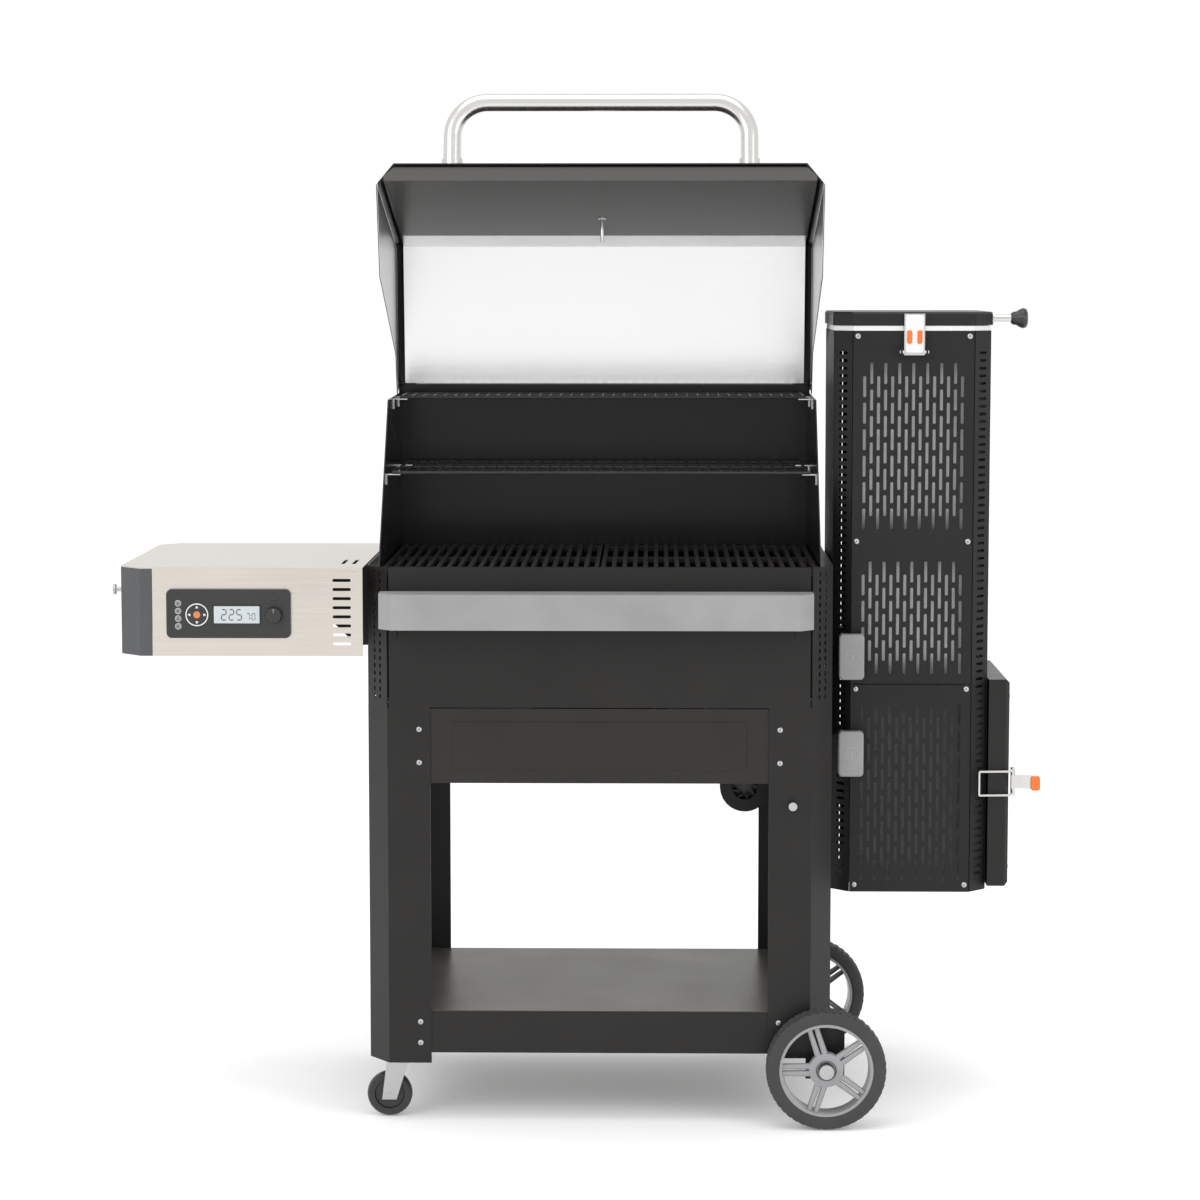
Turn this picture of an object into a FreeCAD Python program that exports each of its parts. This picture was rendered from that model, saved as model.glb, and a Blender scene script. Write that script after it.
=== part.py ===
import FreeCAD, Part
import math
import os

# Gravity-fed charcoal smoker on a cart, in millimetres.
# +X is the hopper's side, +Y points to the back and +Z up.
# Everything is drawn from the cart's own zero: the middle of the cart in X, the front face
# of its legs in Y and the floor in Z. The last step moves the model so that its origin is
# the middle of its floor plan.

V = FreeCAD.Vector
SHEET = 2.0                      # folded steel sheet

# Cart
CART_HALF = 347.0                # half the flat front face
CORNER_X, CORNER_Y = 35.0, 46.0  # folded corner beside the front and back faces
CART_BACK = 510.0
SIDE_X = CART_HALF + CORNER_X
LEG_BOTTOM, LEG_TOP = 99.0, 691.0
LEG_INNER = 277.0
LEG_SIDE = 70.0                  # flange of a leg along the cart's side
RAIL_LOW, RAIL_HIGH = 116.0, 184.0
RAIL_FLANGE = 28.0
SHELF_HEIGHT = 186.0
FASCIA_LOW, FASCIA_HIGH = 566.0, 689.0
SIDE_RAIL_LOW, BACK_RAIL_LOW = 626.0, 656.0

# Wheels and casters
WHEEL_R, WHEEL_WIDTH = 99.0, 40.0
RIM_R, HUB_R, AXLE_R = 79.0, 30.0, 8.0
RUNNING_FIT = 0.08
AXLE_X, AXLE_Z = 372.0, WHEEL_R
WHEEL_FRONT, WHEEL_BACK = -28.0, CART_BACK + 28.0
SPOKES = 5
CASTER_R, CASTER_WIDTH, CASTER_TRAIL = 37.5, 22.0, -14.0
CASTER_X = -336.0
CASTER_YS = (44.0, CART_BACK - 44.0)

# Cooking chamber
CHAMBER_LOW, RIM_HEIGHT = 691.0, 921.0
WALL_X = 360.0                   # inner side walls
INSIDE_FRONT = 24.0              # where the inner walls and the floor begin, behind the trims
WALL_LOW, BACK_HIGH = 705.0, 1203.0
WALL_TOP = ((24.0, 919.0), (228.0, 1185.0), (466.0, 1188.0))   # upper edge of an inner wall
FLOOR_EDGE, DRAIN_X, DRAIN_Z = 735.0, 60.0, 695.0
HINGE_Y, HINGE_Z = 492.0, 1204.0
HINGE_PIN_R = 5.0
GRATE_Z, GRATE_BAR = 919.0, 7.0
GRATE_PITCH = 16.5
RACK_LEVELS = ((1066.0, 150.0), (1186.0, 310.0))   # height and front edge of each warming rack
RACK_BACK = 468.0
RACK_WIRE = 5.0
TRAY_X, TRAY_Y, TRAY_Z = 109.0, (120.0, 480.0), (615.0, 651.0)
MANIFOLD_LOW, MANIFOLD_HIGH = 757.0, 827.0

# Hood, drawn shut in coordinates from its hinge: forwards, and up
HOOD_OPEN = 70.0                 # degrees that it stands open at rest
HOOD_X = 367.0
HOOD_CHAMFER = 30.0
HOOD_TOP = ((-14.0, 36.0), (245.0, 100.0), (492.0, -266.0))
HOOD_EDGE = ((296.0, -266.0), (60.0, -14.0), (-14.0, -14.0))
HOOD_FLOOR = ((250.0, -326.0), (40.0, -60.0), (-60.0, -60.0))   # far enough below the hood's edge
LINER_GAP, LINER_START = 28.0, -3.0
HANDLE_HALF, HANDLE_R, HANDLE_REACH, HANDLE_BEND, HANDLE_FOOT = 245.0, 14.5, 120.0, 58.0, 58.0
STEM_R = 3.2

# Front shelf and side shelf
BAR_LEFT, BAR_RIGHT, BAR_DEPTH, BAR_LOW, BAR_HIGH = -357.0, 347.0, 61.0, 824.0, 882.0
SHELF_LEFT, SHELF_RIGHT = -786.0, -386.0
SHELF_LOW, SHELF_TOP_Z = 775.0, 920.0
SHELF_BACK = 490.0
SHELF_CORNER, SHELF_CAP = 36.0, 20.0
HOOK_YS, HOOK_Z = (150.0, 330.0), 870.0
PEG_X, PEG_Z = 316.0, 531.0
PANEL_X, PANEL_Z = (-706.0, -503.0), (805.0, 885.0)
PANEL_DEPTH = 7.0
BUTTON_X, BUTTON_ZS, BUTTON_R = -686.5, (862.0, 849.5, 837.0, 824.5), 3.6
DIAL_X, DIAL_Z, DIAL_R = -655.7, 843.4, 19.5
DISPLAY_X, DISPLAY_Z = (-629.5, -552.0), (828.0, 859.0)
KNOB_X, KNOB_R = -529.7, 13.8

# Hopper tower
TOWER_LEFT, TOWER_RIGHT = 386.0, 646.0
TOWER_FRONT, TOWER_BACK = 110.0, 420.0
TOWER_CORNER, SEAM = 30.0, 1.6
TOWER_LOW, TOWER_SPLIT, TOWER_HIGH = 367.0, 718.0, 1303.0
TUBE_X, TUBE_Y = (424.0, 608.0), (150.0, 384.0)
LID_LOW, LID_HIGH = 1312.0, 1334.0
LATCH_Z, LATCH_LUG = 1268.0, 8.0
SLOT_PITCH, SLOT_WIDTH, SLOT_LENGTH, SLOT_ROW = 11.5, 5.0, 35.0, 43.7
GATE_X = 404.0                   # middle of the two shut-off blades
GATE_ZS = (765.0, 603.0)
GATE_THICK, GATE_HEIGHT, GATE_LENGTH = 3.0, 62.0, 230.0
DUCT_Y, DUCT_Z = (210.0, 330.0), (738.0, 792.0)    # hot air's way into the chamber
DOOR_X = (648.0, 683.0)
DOOR_Y, DOOR_Z = (128.0, 402.0), (374.0, 723.0)
DOOR_PIN, DOOR_PIN_R = (658.0, 410.0), 5.0
DOOR_LUGS, LUG_HEIGHT = (432.0, 652.0), 12.0
DOOR_LATCH_Z = 549.5
DOOR_WAY_Y, DOOR_WAY_Z = (158.0, 376.0), (385.0, 706.0)   # the side guard's way to the fire
FIRE_GRATE_Z = 578.0
ASH_PAN_Z = (385.0, 425.0)
BLOWER = (246.0, 300.0, 516.0)   # middle of the blower's wheel
BLOWER_R, AIR_Y, AIR_Z = 40.0, (284.0, 324.0), (486.0, 530.0)


def box(x, y, z):
    """A block between the given low and high values of X, Y and Z."""
    return Part.makeBox(x[1] - x[0], y[1] - y[0], z[1] - z[0], V(x[0], y[0], z[0]))


def rod(start, end, radius):
    """A round bar from one point to another."""
    way = V(*end) - V(*start)
    return Part.makeCylinder(radius, way.Length, V(*start), way)


def ring(start, end, outer, inner):
    """A round tube from one point to another."""
    return rod(start, end, outer).cut(rod(start, end, inner))


def prism(points, axis, low, high):
    """A polygon of two coordinates, drawn out along X, Y or Z from low to high."""
    place = {"X": lambda a, b: V(low, a, b), "Y": lambda a, b: V(a, low, b), "Z": lambda a,
             b: V(a, b, low)}[axis]
    way = {"X": V(1, 0, 0), "Y": V(0, 1, 0), "Z": V(0, 0, 1)}[axis]
    loop = [place(*point) for point in points]
    face = Part.Face(Part.makePolygon(loop + loop[:1]))
    return face.extrude(way * (high - low))


def beside(points, distance):
    """The walk along points, moved to its left by a distance, with its corners kept sharp."""
    def normal(a, b):
        length = math.hypot(b[0] - a[0], b[1] - a[1])
        return (a[1] - b[1]) / length, (b[0] - a[0]) / length

    normals = [normal(a, b) for a, b in zip(points, points[1:])]
    moved = []
    for index, (px, py) in enumerate(points):
        before = normals[max(index - 1, 0)]
        after = normals[min(index, len(normals) - 1)]
        share = 1 + before[0] * after[0] + before[1] * after[1]
        moved.append((px + distance * (before[0] + after[0]) / share,
                      py + distance * (before[1] + after[1]) / share))
    return moved


def fold(points, thickness=SHEET):
    """The outline of a sheet folded along points, with its thickness on the left of the walk."""
    return list(points) + beside(points, thickness)[::-1]


def mirrored_x(shape):
    return shape.mirror(V(0, 0, 0), V(1, 0, 0))


def group(shapes):
    """Several separate solids kept as one node."""
    return Part.makeCompound(shapes)


def fused(shapes):
    """One solid made of overlapping shapes."""
    return shapes[0].multiFuse(shapes[1:]).removeSplitter()


def slot_wire(place, wide, high, at_u, at_v):
    """A slot with round ends, longer in the direction in which it is larger."""
    radius = min(wide, high) / 2
    half_u, half_v = wide / 2 - radius, high / 2 - radius
    if half_u >= half_v:
        ends = [(-half_u, radius), (half_u, radius), (half_u + radius, 0), (half_u, -radius),
                (-half_u, -radius), (-half_u - radius, 0)]
    else:
        ends = [(radius, half_v), (radius, -half_v), (0, -half_v - radius), (-radius, -half_v),
                (-radius, half_v), (0, half_v + radius)]
    a, b, c, d, e, f = [place(at_u + u, at_v + v) for u, v in ends]
    edges = [Part.makeLine(a, b), Part.Arc(b, c, d).toShape(), Part.makeLine(d, e),
             Part.Arc(e, f, a).toShape()]
    return Part.Wire(edges)


def perforated(origin, along, up, length, height, slots, thickness=SHEET):
    """A sheet from origin along two directions, pierced by slots of (u, v, width, height)."""
    along, up = V(*along).normalize(), V(*up).normalize()

    def place(u, v):
        return V(*origin) + along * u + up * v

    outline = Part.makePolygon([place(0, 0), place(length, 0), place(length, height), place(0, height),
                                place(0, 0)])
    holes = [slot_wire(place, wide, high, u, v) for u, v, wide, high in slots]
    face = Part.makeFace([outline] + holes, "Part::FaceMakerBullseye")
    return face.extrude(along.cross(up) * -thickness)


def staggered_slots(length, low, high):
    """Upright slots in columns, every second column half a row lower."""
    slots = []
    columns = int((length - 2 * SLOT_PITCH) // SLOT_PITCH)
    first = (length - (columns - 1) * SLOT_PITCH) / 2
    for column in range(columns):
        v = low + SLOT_LENGTH / 2 + (column % 2) * SLOT_ROW / 2
        while v + SLOT_LENGTH / 2 <= high:
            slots.append((first + column * SLOT_PITCH, v, SLOT_WIDTH, SLOT_LENGTH))
            v += SLOT_ROW
    return slots


def level_slots(length, low, high, pitch, wide, tall):
    """Flat slots one above another in a single column."""
    count = int((high - low) // pitch) + 1
    return [(length / 2, low + row * pitch, wide, tall) for row in range(count)]


# Cart

def leg(low, bracket):
    """A front left leg folded from sheet; bracket is the welded ear that carries the axle."""
    plan = [(-SIDE_X, CORNER_Y + LEG_SIDE), (-SIDE_X, CORNER_Y), (-CART_HALF, 0), (-LEG_INNER, 0)]
    shape = prism(fold(plan), "Z", low, LEG_TOP)
    if not bracket:
        foot = box((-SIDE_X, -LEG_INNER - 20), (0, 110), (LEG_BOTTOM, LEG_BOTTOM + SHEET))
        return fused([shape, foot.common(inside_corner())])
    ear = box((-AXLE_X - 32, -AXLE_X + 32), (0, 6), (AXLE_Z - 24, LEG_BOTTOM + 60))
    ear = ear.cut(rod((-AXLE_X, -1, AXLE_Z), (-AXLE_X, 9, AXLE_Z), AXLE_R + RUNNING_FIT))
    return fused([shape, ear])


def inside_corner():
    """The floor plan inside a front left leg, drawn through the whole height."""
    plan = [(-SIDE_X + 1, 110), (-SIDE_X + 1, CORNER_Y), (-CART_HALF, 1), (-200, 1), (-200, 110)]
    return prism(plan, "Z", 0, LEG_TOP)


def to_back(shape):
    return shape.mirror(V(0, CART_BACK / 2, 0), V(0, 1, 0))


def channel(low, high, x):
    """A front rail: a sheet with its upper and lower edges turned to the back."""
    profile = [(SHEET + RAIL_FLANGE, high), (SHEET, high), (SHEET, low), (SHEET + RAIL_FLANGE, low)]
    return prism(fold(profile), "X", -x, x)


def side_channel(low, high):
    """A rail between the left legs."""
    outer = -SIDE_X + SHEET
    profile = [(outer + RAIL_FLANGE, high), (outer, high), (outer, low), (outer + RAIL_FLANGE, low)]
    return prism(fold(profile), "Y", 60, CART_BACK - 60)


def frame_rails():
    bottom_front = channel(RAIL_LOW, RAIL_HIGH, 300)
    bottom_side = side_channel(RAIL_LOW, RAIL_HIGH)
    upper_side = side_channel(SIDE_RAIL_LOW, FASCIA_HIGH)
    upper_back = to_back(channel(BACK_RAIL_LOW, FASCIA_HIGH, 300))
    return group([bottom_front, to_back(bottom_front), bottom_side, mirrored_x(bottom_side),
                  upper_side, mirrored_x(upper_side), upper_back])


def bottom_shelf():
    quarter = [(CART_HALF - 7, 6), (SIDE_X - 7, CORNER_Y + 6)]
    plan = [(-x, y) for x, y in quarter] + [(-x, CART_BACK - y) for x, y in quarter[::-1]]
    plan += [(x, CART_BACK - y) for x, y in quarter] + [(x, y) for x, y in quarter[::-1]]
    return prism(plan, "Z", RAIL_HIGH, SHELF_HEIGHT)


def front_fascia():
    """The cover between the front legs under the chamber, with a shallow raised field."""
    field = box((-240, 240), (0.8, SHEET + 1), (FASCIA_LOW + 22, FASCIA_HIGH - 22))
    return fused([channel(FASCIA_LOW, FASCIA_HIGH, 300), field])


def axle():
    """One shaft through both wheels, with a round nut at each end."""
    front, back = WHEEL_FRONT - WHEEL_WIDTH / 2 - 6, WHEEL_BACK + WHEEL_WIDTH / 2 + 6
    shaft = rod((AXLE_X, front, AXLE_Z), (AXLE_X, back, AXLE_Z), AXLE_R)
    nuts = [rod((AXLE_X, y, AXLE_Z), (AXLE_X, y + 5, AXLE_Z), AXLE_R + 4) for y in (front - 2, back - 3)]
    return fused([shaft] + nuts)


def wheel_rim(middle):
    """A spoked rim: an outer band, a hub on the axle and five spokes."""
    low, high = middle - WHEEL_WIDTH / 2 + 3, middle + WHEEL_WIDTH / 2 - 3
    band = ring((AXLE_X, low, AXLE_Z), (AXLE_X, high, AXLE_Z), RIM_R, RIM_R - 7)
    hub = rod((AXLE_X, low, AXLE_Z), (AXLE_X, high, AXLE_Z), HUB_R)
    web = ring((AXLE_X, middle - 2, AXLE_Z), (AXLE_X, middle + 2, AXLE_Z), RIM_R - 5, HUB_R - 2)
    spokes = []
    for index in range(SPOKES):
        spoke = box((HUB_R - 4, RIM_R - 4), (low + 4, high - 4), (-9, 9))
        spoke.rotate(V(0, 0, 0), V(0, 1, 0), -90 + index * 360 / SPOKES)
        spoke.translate(V(AXLE_X, 0, AXLE_Z))
        spokes.append(spoke)
    shape = fused([band, hub, web] + spokes)
    return shape.cut(rod((AXLE_X, low - 1, AXLE_Z), (AXLE_X, high + 1, AXLE_Z), AXLE_R + RUNNING_FIT))


def tyre(middle):
    """A solid tyre with rounded shoulders, pressed on its rim."""
    low, high = middle - WHEEL_WIDTH / 2, middle + WHEEL_WIDTH / 2
    body = rod((AXLE_X, low, AXLE_Z), (AXLE_X, high, AXLE_Z), WHEEL_R)
    shoulders = [edge for edge in body.Edges if isinstance(edge.Curve, Part.Circle)]
    body = body.makeFillet(8, shoulders)
    return body.cut(rod((AXLE_X, low - 1, AXLE_Z), (AXLE_X, high + 1, AXLE_Z), RIM_R))


def caster_fork(y):
    """A swivel plate with two cheeks; its wheel trails behind the swivel."""
    axis_x = CASTER_X + CASTER_TRAIL
    plate = rod((CASTER_X, y, LEG_BOTTOM - 9), (CASTER_X, y, LEG_BOTTOM - 0.5), 20)
    gap = CASTER_WIDTH / 2 + 2
    cheek = [(CASTER_X - 18, LEG_BOTTOM - 5), (CASTER_X + 18, LEG_BOTTOM - 5), (axis_x + 12, CASTER_R - 8),
             (axis_x - 12, CASTER_R - 8)]
    cheeks = [prism(cheek, "Y", y + side * (gap + 1.5) - 1.5, y + side * (gap + 1.5) + 1.5) for side in (-1,
                                                                                                         1)]
    bridge = box((CASTER_X - 18, CASTER_X + 18), (y - gap - 3, y + gap + 3),
                 (LEG_BOTTOM - 9, LEG_BOTTOM - 5))
    pin = rod((axis_x, y - gap - 4, CASTER_R), (axis_x, y + gap + 4, CASTER_R), 4)
    return fused([plate, bridge] + cheeks + [pin])


def caster_wheel(y):
    axis_x = CASTER_X + CASTER_TRAIL
    body = rod((axis_x, y - CASTER_WIDTH / 2, CASTER_R), (axis_x, y + CASTER_WIDTH / 2, CASTER_R), CASTER_R)
    body = body.makeFillet(4, [edge for edge in body.Edges if isinstance(edge.Curve, Part.Circle)])
    return body.cut(rod((axis_x, y - 20, CASTER_R), (axis_x, y + 20, CASTER_R), 4 + RUNNING_FIT))


# Cooking chamber

def chamber_front():
    profile = [(14, RIM_HEIGHT), (0, RIM_HEIGHT), (0, CHAMBER_LOW), (22, CHAMBER_LOW)]
    return prism(fold(profile), "X", -CART_HALF + 3, CART_HALF - 3)


def chamber_trims():
    """Perforated strips across the chamber's front corners."""
    length = math.hypot(CORNER_X, CORNER_Y) - 2
    height = RIM_HEIGHT - CHAMBER_LOW
    holes = [(u, v, 5, 8) for u in (length / 2 - 8, length / 2 + 8) for v in frange(16, height - 10, 12.6)]
    left = perforated((-SIDE_X + 0.6, CORNER_Y - 0.8, CHAMBER_LOW), (CORNER_X, -CORNER_Y, 0), (0, 0, 1),
                      length, height, holes)
    return group([left, mirrored_x(left)])


def frange(start, stop, step):
    count = int((stop - start) // step) + 1
    return [start + index * step for index in range(count)]


def chamber_sides():
    left = box((-SIDE_X, -SIDE_X + SHEET), (CORNER_Y + 1.5, CART_BACK - 4), (CHAMBER_LOW, RIM_HEIGHT))
    duct = box((SIDE_X - 5, SIDE_X + 5), (DUCT_Y[0] - 1, DUCT_Y[1] + 1), (DUCT_Z[0] - 1, DUCT_Z[1] + 1))
    return group([left, mirrored_x(left).cut(duct)])


def chamber_walls():
    """The inner side walls, with an ear at the back of each for the hood's hinge pin."""
    ear = [(-8, 4), (-4, 8), (4, 8), (8, 4), (10, -6)]
    outline = [(INSIDE_FRONT, WALL_LOW)] + list(WALL_TOP) + [(HINGE_Y + y, HINGE_Z + z) for y, z in ear]
    outline.append((HINGE_Y + 10, WALL_LOW))
    left = prism(outline, "X", -WALL_X - SHEET, -WALL_X)
    pin_hole = rod((-WALL_X - 5, HINGE_Y, HINGE_Z), (-WALL_X + 5, HINGE_Y, HINGE_Z),
                   HINGE_PIN_R + RUNNING_FIT)
    right_wall = mirrored_x(left.cut(pin_hole))
    duct = box((WALL_X - 5, WALL_X + 10), DUCT_Y, DUCT_Z)
    return group([left.cut(pin_hole), right_wall.cut(duct)])


def chamber_back():
    return box((-WALL_X, WALL_X), (HINGE_Y + 8, HINGE_Y + 10), (WALL_LOW, BACK_HIGH))


def chamber_floor():
    """A shallow funnel that drains into the grease tray, with the tray's two runners."""
    profile = [(-WALL_X, FLOOR_EDGE), (-WALL_X, WALL_LOW), (-DRAIN_X, DRAIN_Z), (DRAIN_X, DRAIN_Z),
               (WALL_X, WALL_LOW), (WALL_X, FLOOR_EDGE)]
    floor = prism(fold(profile), "Y", INSIDE_FRONT, HINGE_Y + 6)
    runner = fused([box((TRAY_X + 2, TRAY_X + 4), (118, 476), (TRAY_Z[0] - 4, DRAIN_Z + 3)),
                    box((TRAY_X - 13, TRAY_X + 4), (118, 476), (TRAY_Z[0] - 4, TRAY_Z[0] - 1))])
    drain = rod((0, CART_BACK / 2, DRAIN_Z - 5), (0, CART_BACK / 2, DRAIN_Z + 5), 20)
    return fused([floor, runner, mirrored_x(runner)]).cut(drain)


def cooking_grates():
    """Two cast grates of bars along Y on cross bars, resting side by side."""
    half = []
    x0, x1, y0, y1 = 2.0, WALL_X - 5, 26.0, 488.0
    for y in (y0, (y0 + y1) / 2 - 6, y1 - 12):
        half.append(box((x0, x1), (y, y + 12), (GRATE_Z - 12, GRATE_Z - 3)))
    count = int((x1 - x0 - GRATE_BAR) // GRATE_PITCH) + 1
    step = (x1 - x0 - GRATE_BAR) / (count - 1)
    for index in range(count):
        x = x0 + index * step
        half.append(box((x, x + GRATE_BAR), (y0, y1), (GRATE_Z - 9, GRATE_Z)))
    right = fused(half)
    return group([mirrored_x(right), right])


def warming_racks():
    """Two racks of wires across a bent edge wire."""
    racks = []
    reach = WALL_X - 12
    for height, front in RACK_LEVELS:
        wires = [rod((-reach, y, height), (reach, y, height), RACK_WIRE / 2) for y in (front, RACK_BACK)]
        middle = (front + RACK_BACK) / 2
        wires.append(rod((-reach, middle, height), (reach, middle, height), RACK_WIRE / 2))
        count = 39
        for index in range(count):
            x = -reach + 3 + index * (2 * reach - 6) / (count - 1)
            radius = RACK_WIRE / 2 if index in (0, count - 1) else 1.6
            wires.append(rod((x, front, height + 1.5), (x, RACK_BACK, height + 1.5), radius))
        racks.append(fused(wires))
    return group(racks)


def rack_clips():
    """Bent rests on the side walls under the ends of the racks and grates."""
    clips = []
    for height, front in RACK_LEVELS:
        for y in (front + 22, RACK_BACK - 28):
            wall, tip, top = -WALL_X, -WALL_X + 24, height - RACK_WIRE / 2 - 0.1
            profile = [(wall, top - 18), (wall + 2, top - 18), (wall + 2, top - 2), (tip, top - 2),
                       (tip, top),
                       (wall, top)]
            clip = prism(profile, "Y", y - 10, y + 10)
            clips += [clip, mirrored_x(clip)]
    ledge = box((-WALL_X, -WALL_X + 22), (30, 488), (GRATE_Z - 14, GRATE_Z - 12))
    return group(clips + [ledge, mirrored_x(ledge)])


def heat_manifold():
    """A bent roof over the hot air's way in, open at both long edges."""
    roof = [(430, MANIFOLD_LOW), (350, MANIFOLD_HIGH), (170, MANIFOLD_HIGH), (90, MANIFOLD_LOW)]
    sheet = prism(fold(roof, 3), "X", -300, WALL_X - 1)
    feet = [box((x, x + 3), (94, 426), (WALL_LOW + 2, MANIFOLD_LOW + 4)) for x in (-290, 0, 290)]
    return fused([sheet] + feet)


def grease_tray():
    """A pan under the drain that pulls out of the back."""
    outer = box((-TRAY_X, TRAY_X), TRAY_Y, TRAY_Z)
    inner = box((-TRAY_X + 3, TRAY_X - 3), (TRAY_Y[0] + 3, TRAY_Y[1] - 3), (TRAY_Z[0] + 3, TRAY_Z[1] + 4))
    grip = box((-30, 30), (TRAY_Y[1] - 1, TRAY_Y[1] + 20), (TRAY_Z[0] + 18, TRAY_Z[0] + 21))
    return fused([outer.cut(inner), grip])


# Hood

def hood_prism(outline, half):
    """An outline in hinge coordinates, drawn out to both sides, with the hood shut."""
    points = [(HINGE_Y - forwards, HINGE_Z + up) for forwards, up in outline]
    return prism(points, "X", -half, half)


def opened(shape):
    """The shut hood's shape, turned up about its hinge."""
    turned = shape.copy()
    turned.rotate(V(0, HINGE_Y, HINGE_Z), V(1, 0, 0), -HOOD_OPEN)
    return turned


def chamfered_block(outline, half, chamfer):
    """The hood's full volume with its two upper slopes chamfered along both sides."""
    block = hood_prism(outline, half)
    edges = []
    for edge in block.Edges:
        a, b = [vertex.Point for vertex in edge.Vertexes]
        if abs(a.x - b.x) > 1:
            continue
        middle = (a + b) * 0.5
        forwards, up = HINGE_Y - middle.y, middle.z - HINGE_Z
        if on_slope(forwards, up, outline):
            edges.append(edge)
    return block.makeChamfer(chamfer, edges)


def on_slope(forwards, up, outline):
    for a, b in zip(outline[:2], outline[1:3]):
        if math.hypot((a[0] + b[0]) / 2 - forwards, (a[1] + b[1]) / 2 - up) < 1:
            return True
    return False


def hood_room(gap):
    """The room under the hood's skin, drawn in from its side walls by a gap."""
    inner_top = beside(HOOD_TOP[::-1], SHEET)[::-1]
    inner_top[0] = (inner_top[0][0] - 40, inner_top[0][1] - 40 * slope(*HOOD_TOP[:2]))
    floor = [(HOOD_TOP[2][0] - 2, HOOD_TOP[2][1] - 60)] + list(HOOD_FLOOR)
    return chamfered_block(inner_top + floor, HOOD_X - SHEET - gap, HOOD_CHAMFER)


def gauge_rod(low, high, radius):
    """A round bar on the thermometer's axis, measured outwards from the hood's skin."""
    a, b = HOOD_TOP[1], HOOD_TOP[2]
    middle = ((a[0] + b[0]) / 2, (a[1] + b[1]) / 2)
    length = math.hypot(b[0] - a[0], b[1] - a[1])
    out = ((a[1] - b[1]) / length, (b[0] - a[0]) / length)
    start, end = [(0, HINGE_Y - middle[0] - out[0] * reach, HINGE_Z + middle[1] + out[1] * reach)
                  for reach in (low, high)]
    return rod(start, end, radius)


def hood_shell():
    """The outer skin with its side walls and the two studs that it turns on."""
    outline = list(HOOD_TOP) + list(HOOD_EDGE)
    shell = chamfered_block(outline, HOOD_X, HOOD_CHAMFER).cut(hood_room(0))
    shell = shell.cut(gauge_rod(-20, 20, STEM_R + 0.4))
    studs = []
    for side in (-1, 1):
        stud = rod((side * (WALL_X - 4), HINGE_Y, HINGE_Z), (side * (HOOD_X - 1), HINGE_Y, HINGE_Z),
                   HINGE_PIN_R)
        collar = rod((side * (WALL_X + 3), HINGE_Y, HINGE_Z), (side * (HOOD_X - 1), HINGE_Y, HINGE_Z), 9)
        studs += [stud, collar]
    return opened(fused([shell] + studs))


def liner_line():
    """The liner's walk: under the top, down inside the front and out to the skin as a lip."""
    inner = beside(HOOD_TOP[::-1], LINER_GAP)[::-1]
    start = (LINER_START, inner[0][1] + (LINER_START - inner[0][0]) * slope(inner[0], inner[1]))
    front_x, front_y = HOOD_TOP[2]
    return [start, inner[1], inner[2], (front_x - 8, front_y + 3)]


def slope(a, b):
    return (b[1] - a[1]) / (b[0] - a[0])


def hood_liner():
    sheet = hood_prism(fold(liner_line()[::-1], SHEET), WALL_X - 7)
    return opened(sheet.common(hood_room(1)).cut(gauge_rod(-60, 20, STEM_R + 0.8)))


def hood_handle():
    """A bent tube standing on two round feet on the hood's front."""
    a, b = HOOD_TOP[1], HOOD_TOP[2]
    length = math.hypot(b[0] - a[0], b[1] - a[1])
    along = ((b[0] - a[0]) / length, (b[1] - a[1]) / length)
    out = (-along[1], along[0])
    foot = (b[0] - along[0] * HANDLE_FOOT, b[1] - along[1] * HANDLE_FOOT)

    def at(x, reach):
        return V(x, HINGE_Y - foot[0] - out[0] * reach, HINGE_Z + foot[1] + out[1] * reach)

    bend = HANDLE_BEND
    half, reach = HANDLE_HALF, HANDLE_REACH
    cut = bend * (1 - math.sqrt(0.5))
    edges = [Part.makeLine(at(-half, 0), at(-half, reach - bend)),
             Part.Arc(at(-half, reach - bend), at(-half + cut, reach - cut),
                      at(-half + bend, reach)).toShape(),
             Part.makeLine(at(-half + bend, reach), at(half - bend, reach)),
             Part.Arc(at(half - bend, reach), at(half - cut, reach - cut), at(half, reach - bend)).toShape(),
             Part.makeLine(at(half, reach - bend), at(half, 0))]
    path = Part.Wire(edges)
    way = at(-half, 1) - at(-half, 0)
    circle = Part.Wire(Part.makeCircle(HANDLE_R, at(-half, 0), way))
    tube = path.makePipeShell([circle], True, False)
    feet = [Part.makeCylinder(HANDLE_R + 7, 6, at(x, 0), way) for x in (-half, half)]
    return opened(fused([tube] + feet))


def thermometer():
    """A dial gauge on the hood's front with a stem that reaches inside."""
    dial = gauge_rod(0, 16, 34).cut(gauge_rod(12.5, 16.5, 30))
    return opened(fused([dial, gauge_rod(12, 14, 3), gauge_rod(-75, 1, STEM_R)]))


# Shelves and control panel

def front_shelf():
    """A narrow shelf with a deep front lip and cut corners."""
    cut = 22
    plan = [(BAR_LEFT, -2), (BAR_LEFT, -BAR_DEPTH + cut), (BAR_LEFT + cut, -BAR_DEPTH),
            (BAR_RIGHT - cut, -BAR_DEPTH), (BAR_RIGHT, -BAR_DEPTH + cut), (BAR_RIGHT, -2)]
    rim = prism(fold(plan), "Z", BAR_LOW, BAR_HIGH)
    top = prism(plan, "Z", BAR_HIGH - SHEET, BAR_HIGH)
    return fused([rim, top])


def shelf_plan():
    """The side shelf's floor plan with its two outer corners cut."""
    left, corner = SHELF_LEFT, SHELF_CORNER
    return [(SHELF_RIGHT, SHELF_BACK), (left + corner, SHELF_BACK), (left, SHELF_BACK - corner),
            (left, corner), (left + corner, 0), (SHELF_RIGHT, 0)]


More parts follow.
